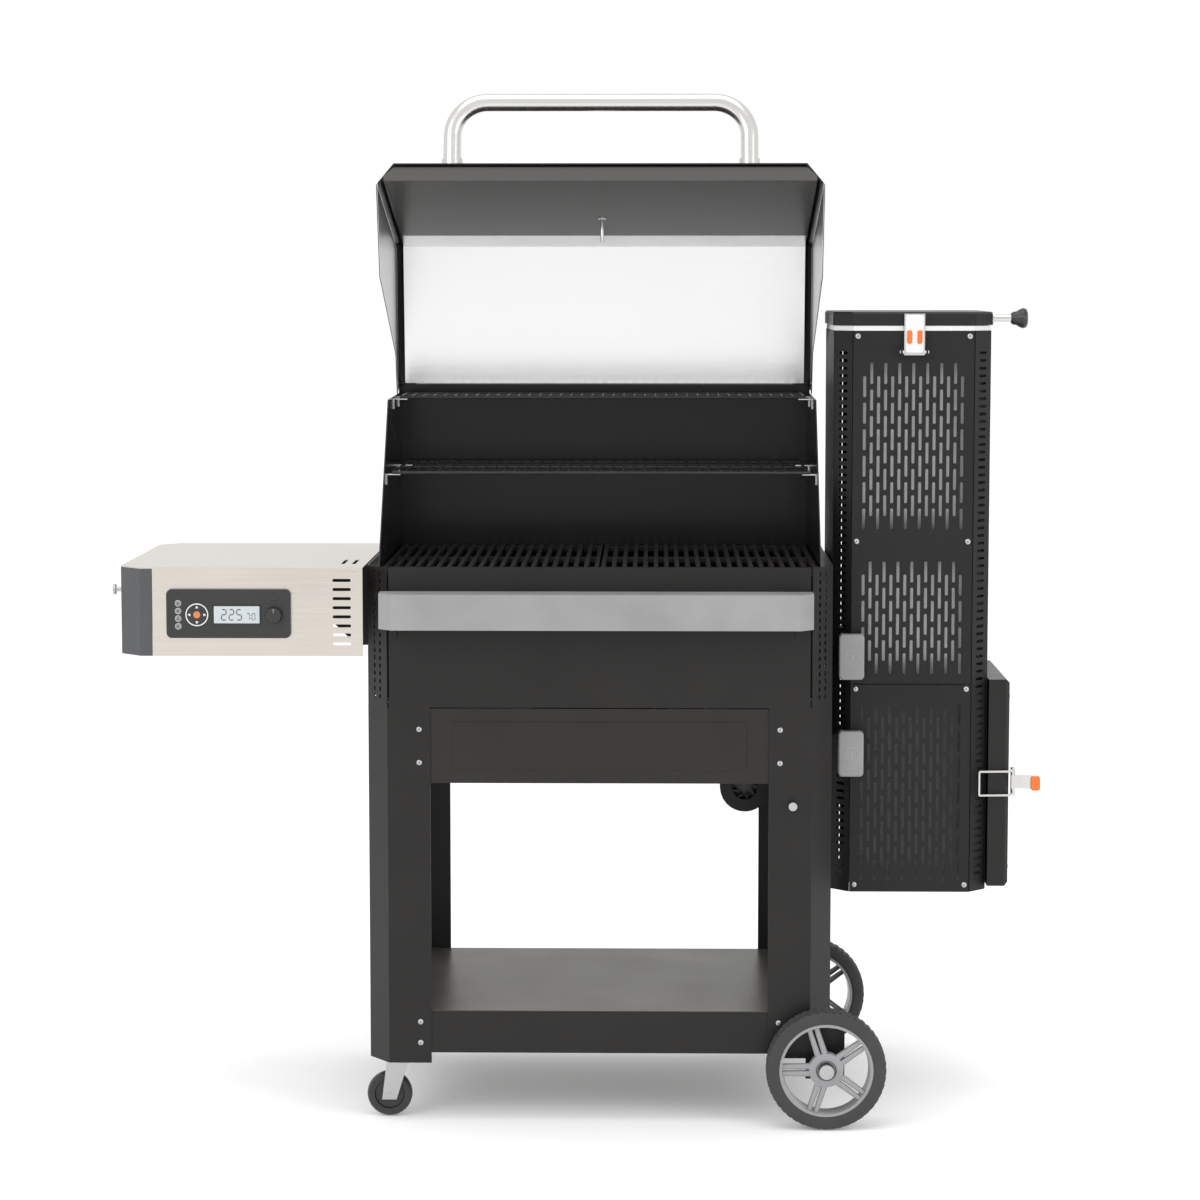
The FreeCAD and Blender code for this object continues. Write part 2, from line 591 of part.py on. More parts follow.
def side_shelf_top():
    slots = []
    for index in range(2):
        slots.append(prism(slot_plan(SHELF_RIGHT - 24 - index * 18), "Z", SHELF_TOP_Z - 10, SHELF_TOP_Z + 1))
    plate = prism(shelf_plan(), "Z", SHELF_TOP_Z - SHEET, SHELF_TOP_Z)
    for slot in slots:
        plate = plate.cut(slot)
    return plate


def slot_plan(x):
    return [(x, 70), (x + 6, 70), (x + 6, 150), (x, 150)]


def side_shelf_front():
    """The shelf's front cover, with a column of vent slots and an opening for the panel."""
    left = SHELF_LEFT + SHELF_CORNER + SHELF_CAP + 0.5
    length, height = SHELF_RIGHT - left, SHELF_TOP_Z - SHEET - SHELF_LOW
    vents = [(length - 34, 20 + row * 14.9, 30, 5) for row in range(8)]
    cover = perforated((left, 0, SHELF_LOW), (1, 0, 0), (0, 0, 1), length, height, vents)
    opening = box((PANEL_X[0] + 10, PANEL_X[1] - 10), (-5, 5), (PANEL_Z[0] + 10, PANEL_Z[1] - 10))
    return cover.cut(opening)


def side_shelf_end():
    """The folded end and back of the side shelf, in one sheet around both cut corners."""
    plan = shelf_plan()[:5] + [(SHELF_LEFT + SHELF_CORNER + SHELF_CAP, 0)]
    return prism(fold(plan), "Z", SHELF_LOW, SHELF_TOP_Z - SHEET)


def shelf_brackets():
    """Brackets that hang the side shelf and the front shelf on the chamber."""
    parts = []
    for y in (60, SHELF_BACK - 60):
        plate = [(SHELF_RIGHT - 150, SHELF_TOP_Z - SHEET), (-SIDE_X, SHELF_TOP_Z - SHEET),
                 (-SIDE_X, SHELF_LOW + 12), (-SIDE_X - 20, SHELF_LOW + 12)]
        parts.append(prism(plate, "Y", y - 1.5, y + 1.5))
    for x in (BAR_LEFT + 28, BAR_RIGHT - 28):
        ear = [(0, BAR_HIGH - SHEET), (-BAR_DEPTH + 14, BAR_HIGH - SHEET), (-BAR_DEPTH + 14, BAR_LOW - 14),
               (-BAR_DEPTH + 30, BAR_LOW - 14), (0, BAR_LOW + 6)]
        parts.append(prism(ear, "X", x - 1.5, x + 1.5))
    return group(parts)


def tool_hooks():
    """Round pegs for hanging tools: two on the shelf's end and one on the right leg."""
    pegs = []
    for y in HOOK_YS:
        pegs.append(fused([rod((SHELF_LEFT, y, HOOK_Z), (SHELF_LEFT - 28, y, HOOK_Z), 4),
                           rod((SHELF_LEFT - 28, y, HOOK_Z), (SHELF_LEFT - 32, y, HOOK_Z), 9)]))
    pegs.append(fused([rod((PEG_X, 0, PEG_Z), (PEG_X, -12, PEG_Z), 4),
                       rod((PEG_X, -12, PEG_Z), (PEG_X, -16, PEG_Z), 7)]))
    return group(pegs)


def control_panel():
    """The control panel's rounded frame, with seats for its keys, knob and window."""
    body = box(PANEL_X, (-PANEL_DEPTH, 0), PANEL_Z)
    corners = [edge for edge in body.Edges if abs(edge.Vertexes[0].Y - edge.Vertexes[1].Y) > 1]
    body = body.makeFillet(9, corners)
    front_rim = [edge for edge in body.Edges if all(abs(v.Y + PANEL_DEPTH) < 0.01 for v in edge.Vertexes)]
    body = body.makeFillet(1.5, front_rim)
    back = box((PANEL_X[0] + 12, PANEL_X[1] - 12), (0, 26), (PANEL_Z[0] + 12, PANEL_Z[1] - 12))
    body = fused([body, back])
    for z in BUTTON_ZS:
        body = body.cut(rod((BUTTON_X, -20, z), (BUTTON_X, 4, z), BUTTON_R + 0.4))
    body = body.cut(rod((DIAL_X, -20, DIAL_Z), (DIAL_X, 4, DIAL_Z), DIAL_R + 0.4))
    body = body.cut(rod((KNOB_X, -20, DIAL_Z), (KNOB_X, 8, DIAL_Z), 3 + RUNNING_FIT))
    window = box(DISPLAY_X, (-PANEL_DEPTH - 0.6, -PANEL_DEPTH + 3), DISPLAY_Z)
    return group([body.cut(window), window])


def key(x, z, radius, proud):
    """A round push key standing proud of the panel."""
    face = -PANEL_DEPTH - proud
    return rod((x, face, z), (x, 0.5, z), radius)


def menu_knob():
    face = -PANEL_DEPTH
    grip = rod((KNOB_X, face - 12, DIAL_Z), (KNOB_X, face - 0.8, DIAL_Z), KNOB_R)
    return fused([grip, rod((KNOB_X, face - 2, DIAL_Z), (KNOB_X, 7, DIAL_Z), 3)])


# Hopper tower

def tower_plan(inset=0.0):
    """The tower's floor plan, a rectangle with four cut corners."""
    left, right = TOWER_LEFT + inset, TOWER_RIGHT - inset
    front, back, cut = TOWER_FRONT + inset, TOWER_BACK - inset, TOWER_CORNER
    return [(left + cut, front), (right - cut, front), (right, front + cut), (right, back - cut),
            (right - cut, back), (left + cut, back), (left, back - cut), (left, front + cut)]


def hopper_tube():
    """The square charcoal tube with its mouth flange and the way out for hot air."""
    wall = 3
    outer = box(TUBE_X, TUBE_Y, (TOWER_SPLIT + 10, TOWER_HIGH))
    flange = prism(tower_plan(1), "Z", TOWER_HIGH, LID_LOW - 1)
    inside = box((TUBE_X[0] + wall, TUBE_X[1] - wall), (TUBE_Y[0] + wall, TUBE_Y[1] - wall),
                 (TOWER_SPLIT, TOWER_HIGH + 10))
    way_out = box((TUBE_X[0] - 1, TUBE_X[0] + wall + 1), (DUCT_Y[0] + 3, DUCT_Y[1] - 3),
                  (DUCT_Z[0] + 3, DUCT_Z[1] - 3))
    return fused([outer, flange]).cut(inside).cut(way_out)


def square_duct(x, y, z, wall=2.0):
    outer = box(x, y, z)
    inner = box((x[0] - 1, x[1] + 1), (y[0] + wall, y[1] - wall), (z[0] + wall, z[1] - wall))
    return outer.cut(inner)


def gate_guides():
    """Short ducts on both sides of the upper blade, and the channels that the blades run in."""
    parts = [square_duct((WALL_X + SHEET, GATE_X - 4), DUCT_Y, DUCT_Z),
             square_duct((GATE_X + 4, TUBE_X[0]), DUCT_Y, DUCT_Z)]
    half = GATE_HEIGHT / 2
    for z in GATE_ZS:
        for side in (-1, 1):
            low, high = sorted((z + side * (half + 0.8), z + side * (half + 4)))
            parts.append(box((GATE_X + 4.2, TUBE_X[0]), (DUCT_Y[1] + 4, 372), (low, high)))
    return group(parts)


def gate(z):
    """A shut-off blade with its rounded handle, which pulls out to the front."""
    half = GATE_HEIGHT / 2
    front = TOWER_FRONT + 8
    blade = box((GATE_X - GATE_THICK / 2, GATE_X + GATE_THICK / 2), (front - 22, front + GATE_LENGTH),
                (z - half, z + half))
    grip = box((GATE_X - 9, GATE_X + 33), (front - 34, front - 18), (z - 38, z + 38))
    grip = grip.makeFillet(7, [edge for edge in grip.Edges
                               if abs(edge.Vertexes[0].Y - edge.Vertexes[1].Y) > 1])
    grip = grip.makeFillet(3, [edge for edge in grip.Edges
                               if all(abs(v.Y - front + 34) < 0.01 for v in edge.Vertexes)])
    return fused([blade, grip])


def firebox():
    """The fire chamber under the tube, with its door collar, hinge lugs and feet."""
    wall = 4
    low, high = TOWER_LOW + 10, TOWER_SPLIT + 10
    outer = box(TUBE_X, TUBE_Y, (low, high))
    inner = box((TUBE_X[0] + wall, TUBE_X[1] - wall), (TUBE_Y[0] + wall, TUBE_Y[1] - wall),
                (low + wall, high + 1))
    collar_y, collar_z = (TUBE_Y[0] + 10, TUBE_Y[1] - 10), (low + 10, high - 26)
    collar = box((TUBE_X[1] - wall, DOOR_X[0] - 1.5), collar_y, collar_z)
    mouth = box((TUBE_X[1] - wall - 5, DOOR_X[0] + 5), (collar_y[0] + 3, collar_y[1] - 3),
                (collar_z[0] + 3, collar_z[1] - 3))
    air = box((TUBE_X[0] - 1, TUBE_X[0] + wall + 1), (AIR_Y[0] + 2, AIR_Y[1] - 2),
              (AIR_Z[0] + 2, AIR_Z[1] - 2))
    shell = fused([outer, collar]).cut(inner).cut(mouth).cut(air)
    feet = box((TOWER_LEFT + 4, TOWER_RIGHT - 4), (TUBE_Y[0] + 20, TUBE_Y[1] - 20), (low - 6, low))
    lugs = []
    pin_x, pin_y = DOOR_PIN
    for z in DOOR_LUGS:
        top = z + LUG_HEIGHT
        eye = rod((pin_x, pin_y, z), (pin_x, pin_y, top), 7.6)
        reach = box((TUBE_X[1] - wall, pin_x), (pin_y - 2, pin_y + 7), (z, top))
        arm = box((TUBE_X[1] - wall, TUBE_X[1] + 12), (TUBE_Y[1] - 20, pin_y + 7), (z, top))
        hole = rod((pin_x, pin_y, z - 1), (pin_x, pin_y, top + 1), DOOR_PIN_R + RUNNING_FIT)
        lugs.append(fused([eye, reach, arm]).cut(hole))
    return fused([shell, feet] + lugs)


def charcoal_grate():
    """A slotted plate across the firebox that holds the burning charcoal."""
    x, y = (TUBE_X[0] + 6, TUBE_X[1] - 6), (TUBE_Y[0] + 6, TUBE_Y[1] - 6)
    length, width = x[1] - x[0], y[1] - y[0]
    slots = [(14 + index * 16, width / 2, 7, width - 40) for index in range(int((length - 24) // 16) + 1)]
    plate = perforated((x[0], y[0], FIRE_GRATE_Z), (1, 0, 0), (0, 1, 0), length, width, slots, 6)
    ledges = [box((edge, edge + 6), y, (FIRE_GRATE_Z - 12, FIRE_GRATE_Z - 6)) for edge in (TUBE_X[0] + 4,
                                                                                           TUBE_X[1] - 10)]
    return group([plate] + ledges)


def ash_pan():
    outer = box((TUBE_X[0] + 8, TUBE_X[1] - 8), (TUBE_Y[0] + 16, TUBE_Y[1] - 16), ASH_PAN_Z)
    inner = box((TUBE_X[0] + 10, TUBE_X[1] - 10), (TUBE_Y[0] + 18, TUBE_Y[1] - 18),
                (ASH_PAN_Z[0] + 2, ASH_PAN_Z[1] + 5))
    return outer.cut(inner)


def hopper_cover_front():
    """The upper front heat guard, slotted in two fields, with the lid latch's lugs."""
    length, height = TOWER_RIGHT - TOWER_LEFT - 2 * TOWER_CORNER - 1, TOWER_HIGH - TOWER_SPLIT
    slots = staggered_slots(length, 16, 217) + staggered_slots(length, 257, 550)
    origin = (TOWER_LEFT + TOWER_CORNER + 0.5, TOWER_FRONT, TOWER_SPLIT)
    cover = perforated(origin, (1, 0, 0), (0, 0, 1), length, height, slots)
    middle = (TOWER_LEFT + TOWER_RIGHT) / 2
    lugs = []
    for side in (-1, 1):
        lug = box((middle + side * 21 - 1.5, middle + side * 21 + 1.5), (TOWER_FRONT - 14, TOWER_FRONT + 1),
                  (LATCH_Z - LATCH_LUG, LATCH_Z + LATCH_LUG))
        lugs.append(lug.cut(rod((middle - 30, TOWER_FRONT - 8, LATCH_Z),
                                (middle + 30, TOWER_FRONT - 8, LATCH_Z),
                                3 + RUNNING_FIT)))
    return fused([cover] + lugs)


def firebox_cover():
    """The lower front heat guard."""
    length, height = TOWER_RIGHT - TOWER_LEFT - 2 * TOWER_CORNER - 1, TOWER_SPLIT - TOWER_LOW - 2
    origin = (TOWER_LEFT + TOWER_CORNER + 0.5, TOWER_FRONT, TOWER_LOW)
    return perforated(origin, (1, 0, 0), (0, 0, 1), length, height, staggered_slots(length, 19, height - 12))


def hopper_cover_sides():
    """The side and back heat guards and the four vented corner strips."""
    plan = tower_plan()
    parts = []
    for start, end in ((1, 2), (2, 3), (3, 4), (4, 5), (5, 6), (6, 7), (7, 0)):
        a, b = plan[start], plan[end]
        length = math.hypot(b[0] - a[0], b[1] - a[1]) - 2 * SEAM
        way = ((b[0] - a[0]) / (length + 2 * SEAM), (b[1] - a[1]) / (length + 2 * SEAM))
        height = TOWER_HIGH - TOWER_LOW
        wide = 18 if length < 60 else 0
        slots = level_slots(length, 30, height - 30, 12.6, wide, 5) if wide else []
        side = perforated((a[0] + way[0] * SEAM, a[1] + way[1] * SEAM, TOWER_LOW), (way[0], way[1], 0),
                          (0, 0, 1),
                          length, height, slots)
        parts.append(side)
    wall = (TOWER_RIGHT - 5, TOWER_RIGHT + 5)
    door_way = box(wall, DOOR_WAY_Y, DOOR_WAY_Z)
    seams = [box(wall, (TOWER_FRONT, TOWER_BACK), (z - 0.3, z + 0.3)) for z in DOOR_WAY_Z]
    duct_way = box((TOWER_LEFT - 5, TOWER_LEFT + 5), (DUCT_Y[0] - 1, DUCT_Y[1] + 1),
                   (DUCT_Z[0] - 1, DUCT_Z[1] + 1))
    air_way = box((TOWER_LEFT - 5, TOWER_LEFT + 5), (AIR_Y[0] - 1, AIR_Y[1] + 1),
                  (AIR_Z[0] - 1, AIR_Z[1] + 1))
    gate_ways = [box((GATE_X - 3, GATE_X + 3), (TOWER_FRONT, TOWER_FRONT + 60),
                     (z - GATE_HEIGHT / 2 - 2, z + GATE_HEIGHT / 2 + 2)) for z in GATE_ZS]
    lug_ways = [box((TOWER_RIGHT - 40, TOWER_RIGHT + 5), (TUBE_Y[1] + 5, TOWER_BACK),
                    (z - 1, z + LUG_HEIGHT + 1)) for z in DOOR_LUGS]
    finished = []
    for side in parts:
        for way in [door_way, duct_way, air_way] + seams + gate_ways + lug_ways:
            side = side.cut(way)
        finished += side.Solids
    return group(finished)


def hopper_lid():
    """A shallow lid with cut corners, on a hinge barrel at the back."""
    plan = tower_plan(-2)
    block = prism(plan, "Z", LID_LOW, LID_HIGH)
    top = [edge for edge in block.Edges if all(abs(v.Z - LID_HIGH) < 0.01 for v in edge.Vertexes)]
    block = block.makeChamfer(3, top)
    hollow = prism(tower_plan(1), "Z", LID_LOW - 1, LID_HIGH - 2)
    plug = box((TUBE_X[0] + 8, TUBE_X[1] - 8), (TUBE_Y[0] + 8, TUBE_Y[1] - 8), (LID_LOW - 6, LID_HIGH - 1))
    middle = (TOWER_LEFT + TOWER_RIGHT) / 2
    barrel = rod((middle - 60, TOWER_BACK + 9, LID_LOW + 4), (middle + 60, TOWER_BACK + 9, LID_LOW + 4), 5)
    strap = box((middle - 40, middle + 40), (TOWER_BACK - 4, TOWER_BACK + 9), (LID_LOW + 5, LID_LOW + 8))
    return fused([block.cut(hollow), plug, barrel, strap])


def lid_knob():
    """A rod with a turned knob on the lid's outer side."""
    y, z = TOWER_FRONT + 50, (LID_LOW + LID_HIGH) / 2
    start = TOWER_RIGHT + 2
    grip = rod((start + 34, y, z), (start + 60, y, z), 17)
    grip = grip.makeFillet(5, [edge for edge in grip.Edges if isinstance(edge.Curve, Part.Circle)])
    return fused([rod((start, y, z), (start + 40, y, z), 6), grip])


def hopper_latch():
    """A spring lever that clips against the lid's front edge, on a pin between two lugs."""
    middle, y, z = (TOWER_LEFT + TOWER_RIGHT) / 2, TOWER_FRONT - 8, LATCH_Z
    lever = [(y - 3, z - 5), (y + 3, z - 5), (y + 4, z + 34), (y + 3, LID_HIGH - 3), (y - 4, LID_HIGH - 3)]
    body = prism(lever, "X", middle - 17, middle + 17)
    pin = rod((middle - 24, y, z), (middle + 24, y, z), 3)
    return fused([body, pin])


def ash_door():
    """A hollow door with a gasket frame inside, turning on a pin at its back edge."""
    block = box(DOOR_X, DOOR_Y, DOOR_Z)
    face = [edge for edge in block.Edges if all(abs(v.X - DOOR_X[1]) < 0.01 for v in edge.Vertexes)]
    block = block.makeChamfer(6, face)
    hollow = box((DOOR_X[0] - 1, DOOR_X[1] - 8), (DOOR_Y[0] + 3, DOOR_Y[1] - 3),
                 (DOOR_Z[0] + 3, DOOR_Z[1] - 3))
    pin_x, pin_y = DOOR_PIN
    low, high = DOOR_LUGS[0], DOOR_LUGS[1] + LUG_HEIGHT
    pin = rod((pin_x, pin_y, low - 8), (pin_x, pin_y, high + 8), DOOR_PIN_R)
    leaf = box((pin_x - 4, pin_x + 4), (DOOR_Y[1] - 3, pin_y), (low + LUG_HEIGHT + 4, high - LUG_HEIGHT - 4))
    return fused([block.cut(hollow), pin, leaf])


def door_latch():
    """A draw latch on the door: a lever on its pin, with a wire loop towards the tower."""
    x, y, z = DOOR_X[1] + 8, DOOR_Y[0] + 14, DOOR_LATCH_Z
    post = rod((x, y, z - 24), (x, y, z + 24), 4)
    lever = prism([(x - 3, y - 5), (x + 42, y - 16), (x + 44, y - 10), (x + 3, y + 5)], "Z", z - 11, z + 11)
    reach = TOWER_RIGHT - 14
    loop = []
    for side in (-1, 1):
        loop.append(rod((x, y, z + side * 20), (x - 8, DOOR_Y[0] - 10, z + side * 20), 2))
        loop.append(rod((x - 8, DOOR_Y[0] - 10, z + side * 20), (reach, DOOR_Y[0] - 14, z + side * 20), 2))
    loop.append(rod((reach, DOOR_Y[0] - 14, z - 20), (reach, DOOR_Y[0] - 14, z + 20), 2))
    return fused([post, lever] + loop)


# Blower

def fan_housing():
    """A round blower case with an inlet in front and a duct into the firebox."""
    x, y, z = BLOWER
    half = (AIR_Y[1] - AIR_Y[0]) / 2
    case = rod((x, AIR_Y[0], z), (x, AIR_Y[1], z), BLOWER_R + 3)
    duct = box((x, TUBE_X[0]), AIR_Y, AIR_Z)
    hanger = box((x - 10, x + 10), (y - 8, y + 8), (z + BLOWER_R, DRAIN_Z + 5.8))
    shape = fused([case, duct, hanger])
    inside = rod((x, AIR_Y[0] + 2, z), (x, AIR_Y[1] - 2, z), BLOWER_R)
    bore = box((x, TUBE_X[0] + 1), (AIR_Y[0] + 2, AIR_Y[1] - 2), (AIR_Z[0] + 2, AIR_Z[1] - 2))
    inlet = rod((x, AIR_Y[0] - 1, z), (x, AIR_Y[0] + 5, z), 22)
    boss = rod((x, AIR_Y[1] - 12, z), (x, AIR_Y[1], z), 7)
    hole = rod((x, AIR_Y[1] - 13, z), (x, AIR_Y[1] - 3, z), 3 + RUNNING_FIT)
    shape = shape.cut(inside).cut(bore).cut(inlet)
    return fused([shape, boss]).cut(hole)


def fan_impeller():
    x, y, z = BLOWER
    low, high = AIR_Y[0] + 5, AIR_Y[1] - 14
    disc = rod((x, high - 2, z), (x, high, z), 33)
    shaft = rod((x, low + 4, z), (x, AIR_Y[1] - 4, z), 3)
    hub = rod((x, low + 4, z), (x, high, z), 8)
    blades = []
    for index in range(9):
        blade = box((14, 33), (low, high), (-1, 1))
        blade.rotate(V(20, 0, 0), V(0, 1, 0), 30)
        blade.rotate(V(0, 0, 0), V(0, 1, 0), index * 40)
        blade.translate(V(x, 0, z))
        blades.append(blade)
    return fused([disc, shaft, hub] + blades)


def cover_screws():
    """Pan heads on the covers and the legs."""
    heads = []
    for x in (TOWER_LEFT + TOWER_CORNER + 8, TOWER_RIGHT - TOWER_CORNER - 8):
        for z in (TOWER_HIGH - 9, 955, TOWER_SPLIT - 9):
            heads.append(rod((x, TOWER_FRONT, z), (x, TOWER_FRONT - 2.5, z), 4.5))
    for x in (-295, 295):
        for z in (133, 168):
            heads.append(rod((x, 0, z), (x, -2.5, z), 4.5))
    for z in (DOOR_Z[0] + 30, DOOR_Z[1] - 30):
        heads.append(rod((DOOR_X[1], DOOR_Y[0] + 20, z), (DOOR_X[1] + 2.5, DOOR_Y[0] + 20, z), 4.5))
    return group(heads)


def build():
    """Every node's shape by name."""
    left_leg, right_leg = leg(LEG_BOTTOM, False), mirrored_x(leg(LEG_BOTTOM + 10, True))
    nodes = {
        "front_legs": group([left_leg, right_leg]),
        "back_legs": to_back(group([left_leg, right_leg])),
        "frame_rails": frame_rails(),
        "bottom_shelf": bottom_shelf(),
        "front_fascia": front_fascia(),
        "axle": axle(),
        "chamber_front": chamber_front(),
        "chamber_trims": chamber_trims(),
        "chamber_sides": chamber_sides(),
        "chamber_walls": chamber_walls(),
        "chamber_back": chamber_back(),
        "chamber_floor": chamber_floor(),
        "cooking_grates": cooking_grates(),
        "warming_racks": warming_racks(),
        "rack_clips": rack_clips(),
        "heat_manifold": heat_manifold(),
        "grease_tray": grease_tray(),
        "hood_shell": hood_shell(),
        "hood_liner": hood_liner(),
        "hood_handle": hood_handle(),
        "thermometer": thermometer(),
        "front_shelf": front_shelf(),
        "side_shelf_top": side_shelf_top(),
        "side_shelf_front": side_shelf_front(),
        "side_shelf_end": side_shelf_end(),
        "shelf_brackets": shelf_brackets(),
        "tool_hooks": tool_hooks(),
        "control_panel": control_panel(),
        "dial_pad": key(DIAL_X, DIAL_Z, DIAL_R, 1.5),
        "menu_knob": menu_knob(),
        "hopper_tube": hopper_tube(),
        "gate_guides": gate_guides(),
        "upper_gate": gate(GATE_ZS[0]),
        "lower_gate": gate(GATE_ZS[1]),
        "firebox": firebox(),
        "charcoal_grate": charcoal_grate(),
        "ash_pan": ash_pan(),
        "hopper_cover_front": hopper_cover_front(),
        "firebox_cover": firebox_cover(),
        "hopper_cover_sides": hopper_cover_sides(),
        "hopper_lid": hopper_lid(),
        "lid_knob": lid_knob(),
        "hopper_latch": hopper_latch(),
        "ash_door": ash_door(),
        "door_latch": door_latch(),
        "fan_housing": fan_housing(),
        "fan_impeller": fan_impeller(),
        "cover_screws": cover_screws(),
    }
    for number, z in enumerate(BUTTON_ZS, 1):
        nodes[f"button_{number}"] = key(BUTTON_X, z, BUTTON_R, 2)
    for name, middle in (("front", WHEEL_FRONT), ("back", WHEEL_BACK)):
        nodes[f"{name}_rim"] = wheel_rim(middle)
        nodes[f"{name}_tyre"] = tyre(middle)
    for name, y in zip(("front", "back"), CASTER_YS):
        nodes[f"{name}_caster_fork"] = caster_fork(y)
        nodes[f"{name}_caster_wheel"] = caster_wheel(y)
    return nodes


def main():
    os.makedirs("parts", exist_ok=True)
    nodes = build()
    bounds = FreeCAD.BoundBox()
    for shape in nodes.values():
        bounds.add(shape.optimalBoundingBox(False, False))
    shift = V(-(bounds.XMin + bounds.XMax) / 2, -(bounds.YMin + bounds.YMax) / 2, -bounds.ZMin)
    print("origin moved by", [round(value, 4) for value in shift], "for a model of",
          [round(value, 1) for value in (bounds.XLength, bounds.YLength, bounds.ZLength)])
    for name, shape in nodes.items():
        shape.translate(shift)
        sound = shape.isValid() and all(solid.isValid() for solid in shape.Solids)
        if not sound or not shape.Solids:
            print("check", name, shape.isValid(), len(shape.Solids))
        shape.exportStep(f"parts/{name}.step")
    print(len(nodes), "nodes")


main()
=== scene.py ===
# %% [markdown]
# # A gravity-fed charcoal smoker on its cart
#
# This file dresses a finished mechanical model. The frame brings every folded sheet, tube and
# hinge in its true size, so the work here is finishes, small turned and bent pieces, light and
# a camera. Everything is in metres, and no size is guessed twice: positions are read from the
# frame's own boxes.

import math

import bmesh
import bpy
import numpy as np
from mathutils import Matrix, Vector


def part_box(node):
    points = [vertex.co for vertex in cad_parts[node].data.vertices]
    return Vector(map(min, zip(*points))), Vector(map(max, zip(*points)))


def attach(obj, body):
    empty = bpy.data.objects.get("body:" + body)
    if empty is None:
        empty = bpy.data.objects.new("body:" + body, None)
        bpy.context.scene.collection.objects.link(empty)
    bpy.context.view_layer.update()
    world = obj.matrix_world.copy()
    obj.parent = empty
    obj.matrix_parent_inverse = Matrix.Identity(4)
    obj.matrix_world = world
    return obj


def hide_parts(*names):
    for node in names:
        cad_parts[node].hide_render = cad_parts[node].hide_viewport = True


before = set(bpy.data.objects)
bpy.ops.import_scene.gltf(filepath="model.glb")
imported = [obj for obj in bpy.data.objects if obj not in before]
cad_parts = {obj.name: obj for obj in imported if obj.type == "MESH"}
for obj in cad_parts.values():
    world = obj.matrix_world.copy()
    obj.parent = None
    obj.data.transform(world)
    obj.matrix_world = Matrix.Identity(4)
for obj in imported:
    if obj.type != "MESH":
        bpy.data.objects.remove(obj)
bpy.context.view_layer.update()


def span(node):
    """The lowest corner, highest corner and middle of a node, as arrays."""
    low, high = (np.array(corner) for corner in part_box(node))
    return low, high, (low + high) / 2


# %% [markdown]
# ## Writing shader maths as arithmetic
#
# A finish is a small sum: a base colour, a little grain, a little wear. Node editors hide such
# sums in wires. A class that wraps one socket and answers to + and * lets the same sum be
# written in a line, and one method makes every other node.

# %% A socket that can be added and multiplied
class Signal:
    """An output socket. Arithmetic on it adds Math nodes to its material."""

    def __init__(self, finish, socket):
        self.finish, self.socket = finish, socket

    def math(self, operation, first, second):
        return self.finish.node("ShaderNodeMath", {"operation": operation}, {0: first, 1: second})

    def __add__(self, other):
        return self.math("ADD", self, other)

    def __sub__(self, other):
        return self.math("SUBTRACT", self, other)

    def __rsub__(self, other):
        return self.math("SUBTRACT", other, self)

    def above(self, level):
        """1 where the signal is over a level, 0 elsewhere."""
        return self.math("GREATER_THAN", self, level)

    def axis(self, letter):
        """One coordinate of a place."""
        return self.finish.node("ShaderNodeSeparateXYZ", {}, {0: self}, output=letter)

    def __mul__(self, other):
        return self.math("MULTIPLY", self, other)

    __radd__, __rmul__ = __add__, __mul__


class Finish:
    """One material with a Principled surface, built node by node."""

    def __init__(self, name, **sockets):
        self.material = bpy.data.materials.new(name)
        self.material.use_nodes = True
        self.tree = self.material.node_tree
        self.surface = self.tree.nodes["Principled BSDF"]
        for socket, value in sockets.items():
            self.set(socket.replace("_", " "), value)

    def set(self, socket, value):
        """Gives a socket of the surface a constant or a signal."""
        if isinstance(value, Signal):
            self.tree.links.new(value.socket, self.surface.inputs[socket])
        else:
            self.surface.inputs[socket].default_value = value

    def node(self, kind, settings=(), inputs=(), output=0):
        """A node of any kind: its settings are made first, then its sockets are filled."""
        made = self.tree.nodes.new(kind)
        for key, value in dict(settings).items():
            if key == "stops":
                self.fill_ramp(made, value)
            else:
                setattr(made, key, value)
        for key, value in dict(inputs).items():
            if isinstance(value, Signal):
                self.tree.links.new(value.socket, made.inputs[key])
            else:
                made.inputs[key].default_value = value
        return Signal(self, made.outputs[output])

    @staticmethod
    def fill_ramp(made, stops):
        elements = made.color_ramp.elements
        while len(elements) < len(stops):
            elements.new(0.5)
        for element, (position, shade) in zip(elements, stops):
            element.position = position
            element.color = (*shade, 1) if isinstance(shade, tuple) else (shade, shade, shade, 1)

    def math_of(self, operation, signal):
        """A Math node of one input, such as the absolute value."""
        return self.node("ShaderNodeMath", {"operation": operation}, {0: signal})

    def place(self):
        """Where a point of the piece is, in metres."""
        return self.node("ShaderNodeTexCoord", output="Object")

    def noise(self, scale, detail=3.0, stretch=(1, 1, 1), rough=0.5):
        """Soft noise from 0 to 1; stretch multiplies the coordinates, so small values draw it out."""
        spread = self.node("ShaderNodeMapping", {}, {"Vector": self.place(), "Scale": stretch})
        return self.node("ShaderNodeTexNoise", {}, {"Vector": spread, "Scale": scale, "Detail": detail,
                                                    "Roughness": rough})

    def ramp(self, signal, *stops):
        return self.node("ShaderNodeValToRGB", {"stops": stops}, {"Fac": signal})

    def blend(self, amount, first, second):
        """A colour between two colours."""
        return self.node("ShaderNodeMix", {"data_type": "RGBA"}, {0: amount, 6: first, 7: second}, output=2)

    def bump(self, height, distance, strength=1.0):
        self.set("Normal", self.node("ShaderNodeBump", {}, {"Height": height, "Distance": distance,
                                                            "Strength": strength}))


def rgb(red, green, blue):
    return (red, green, blue, 1.0)


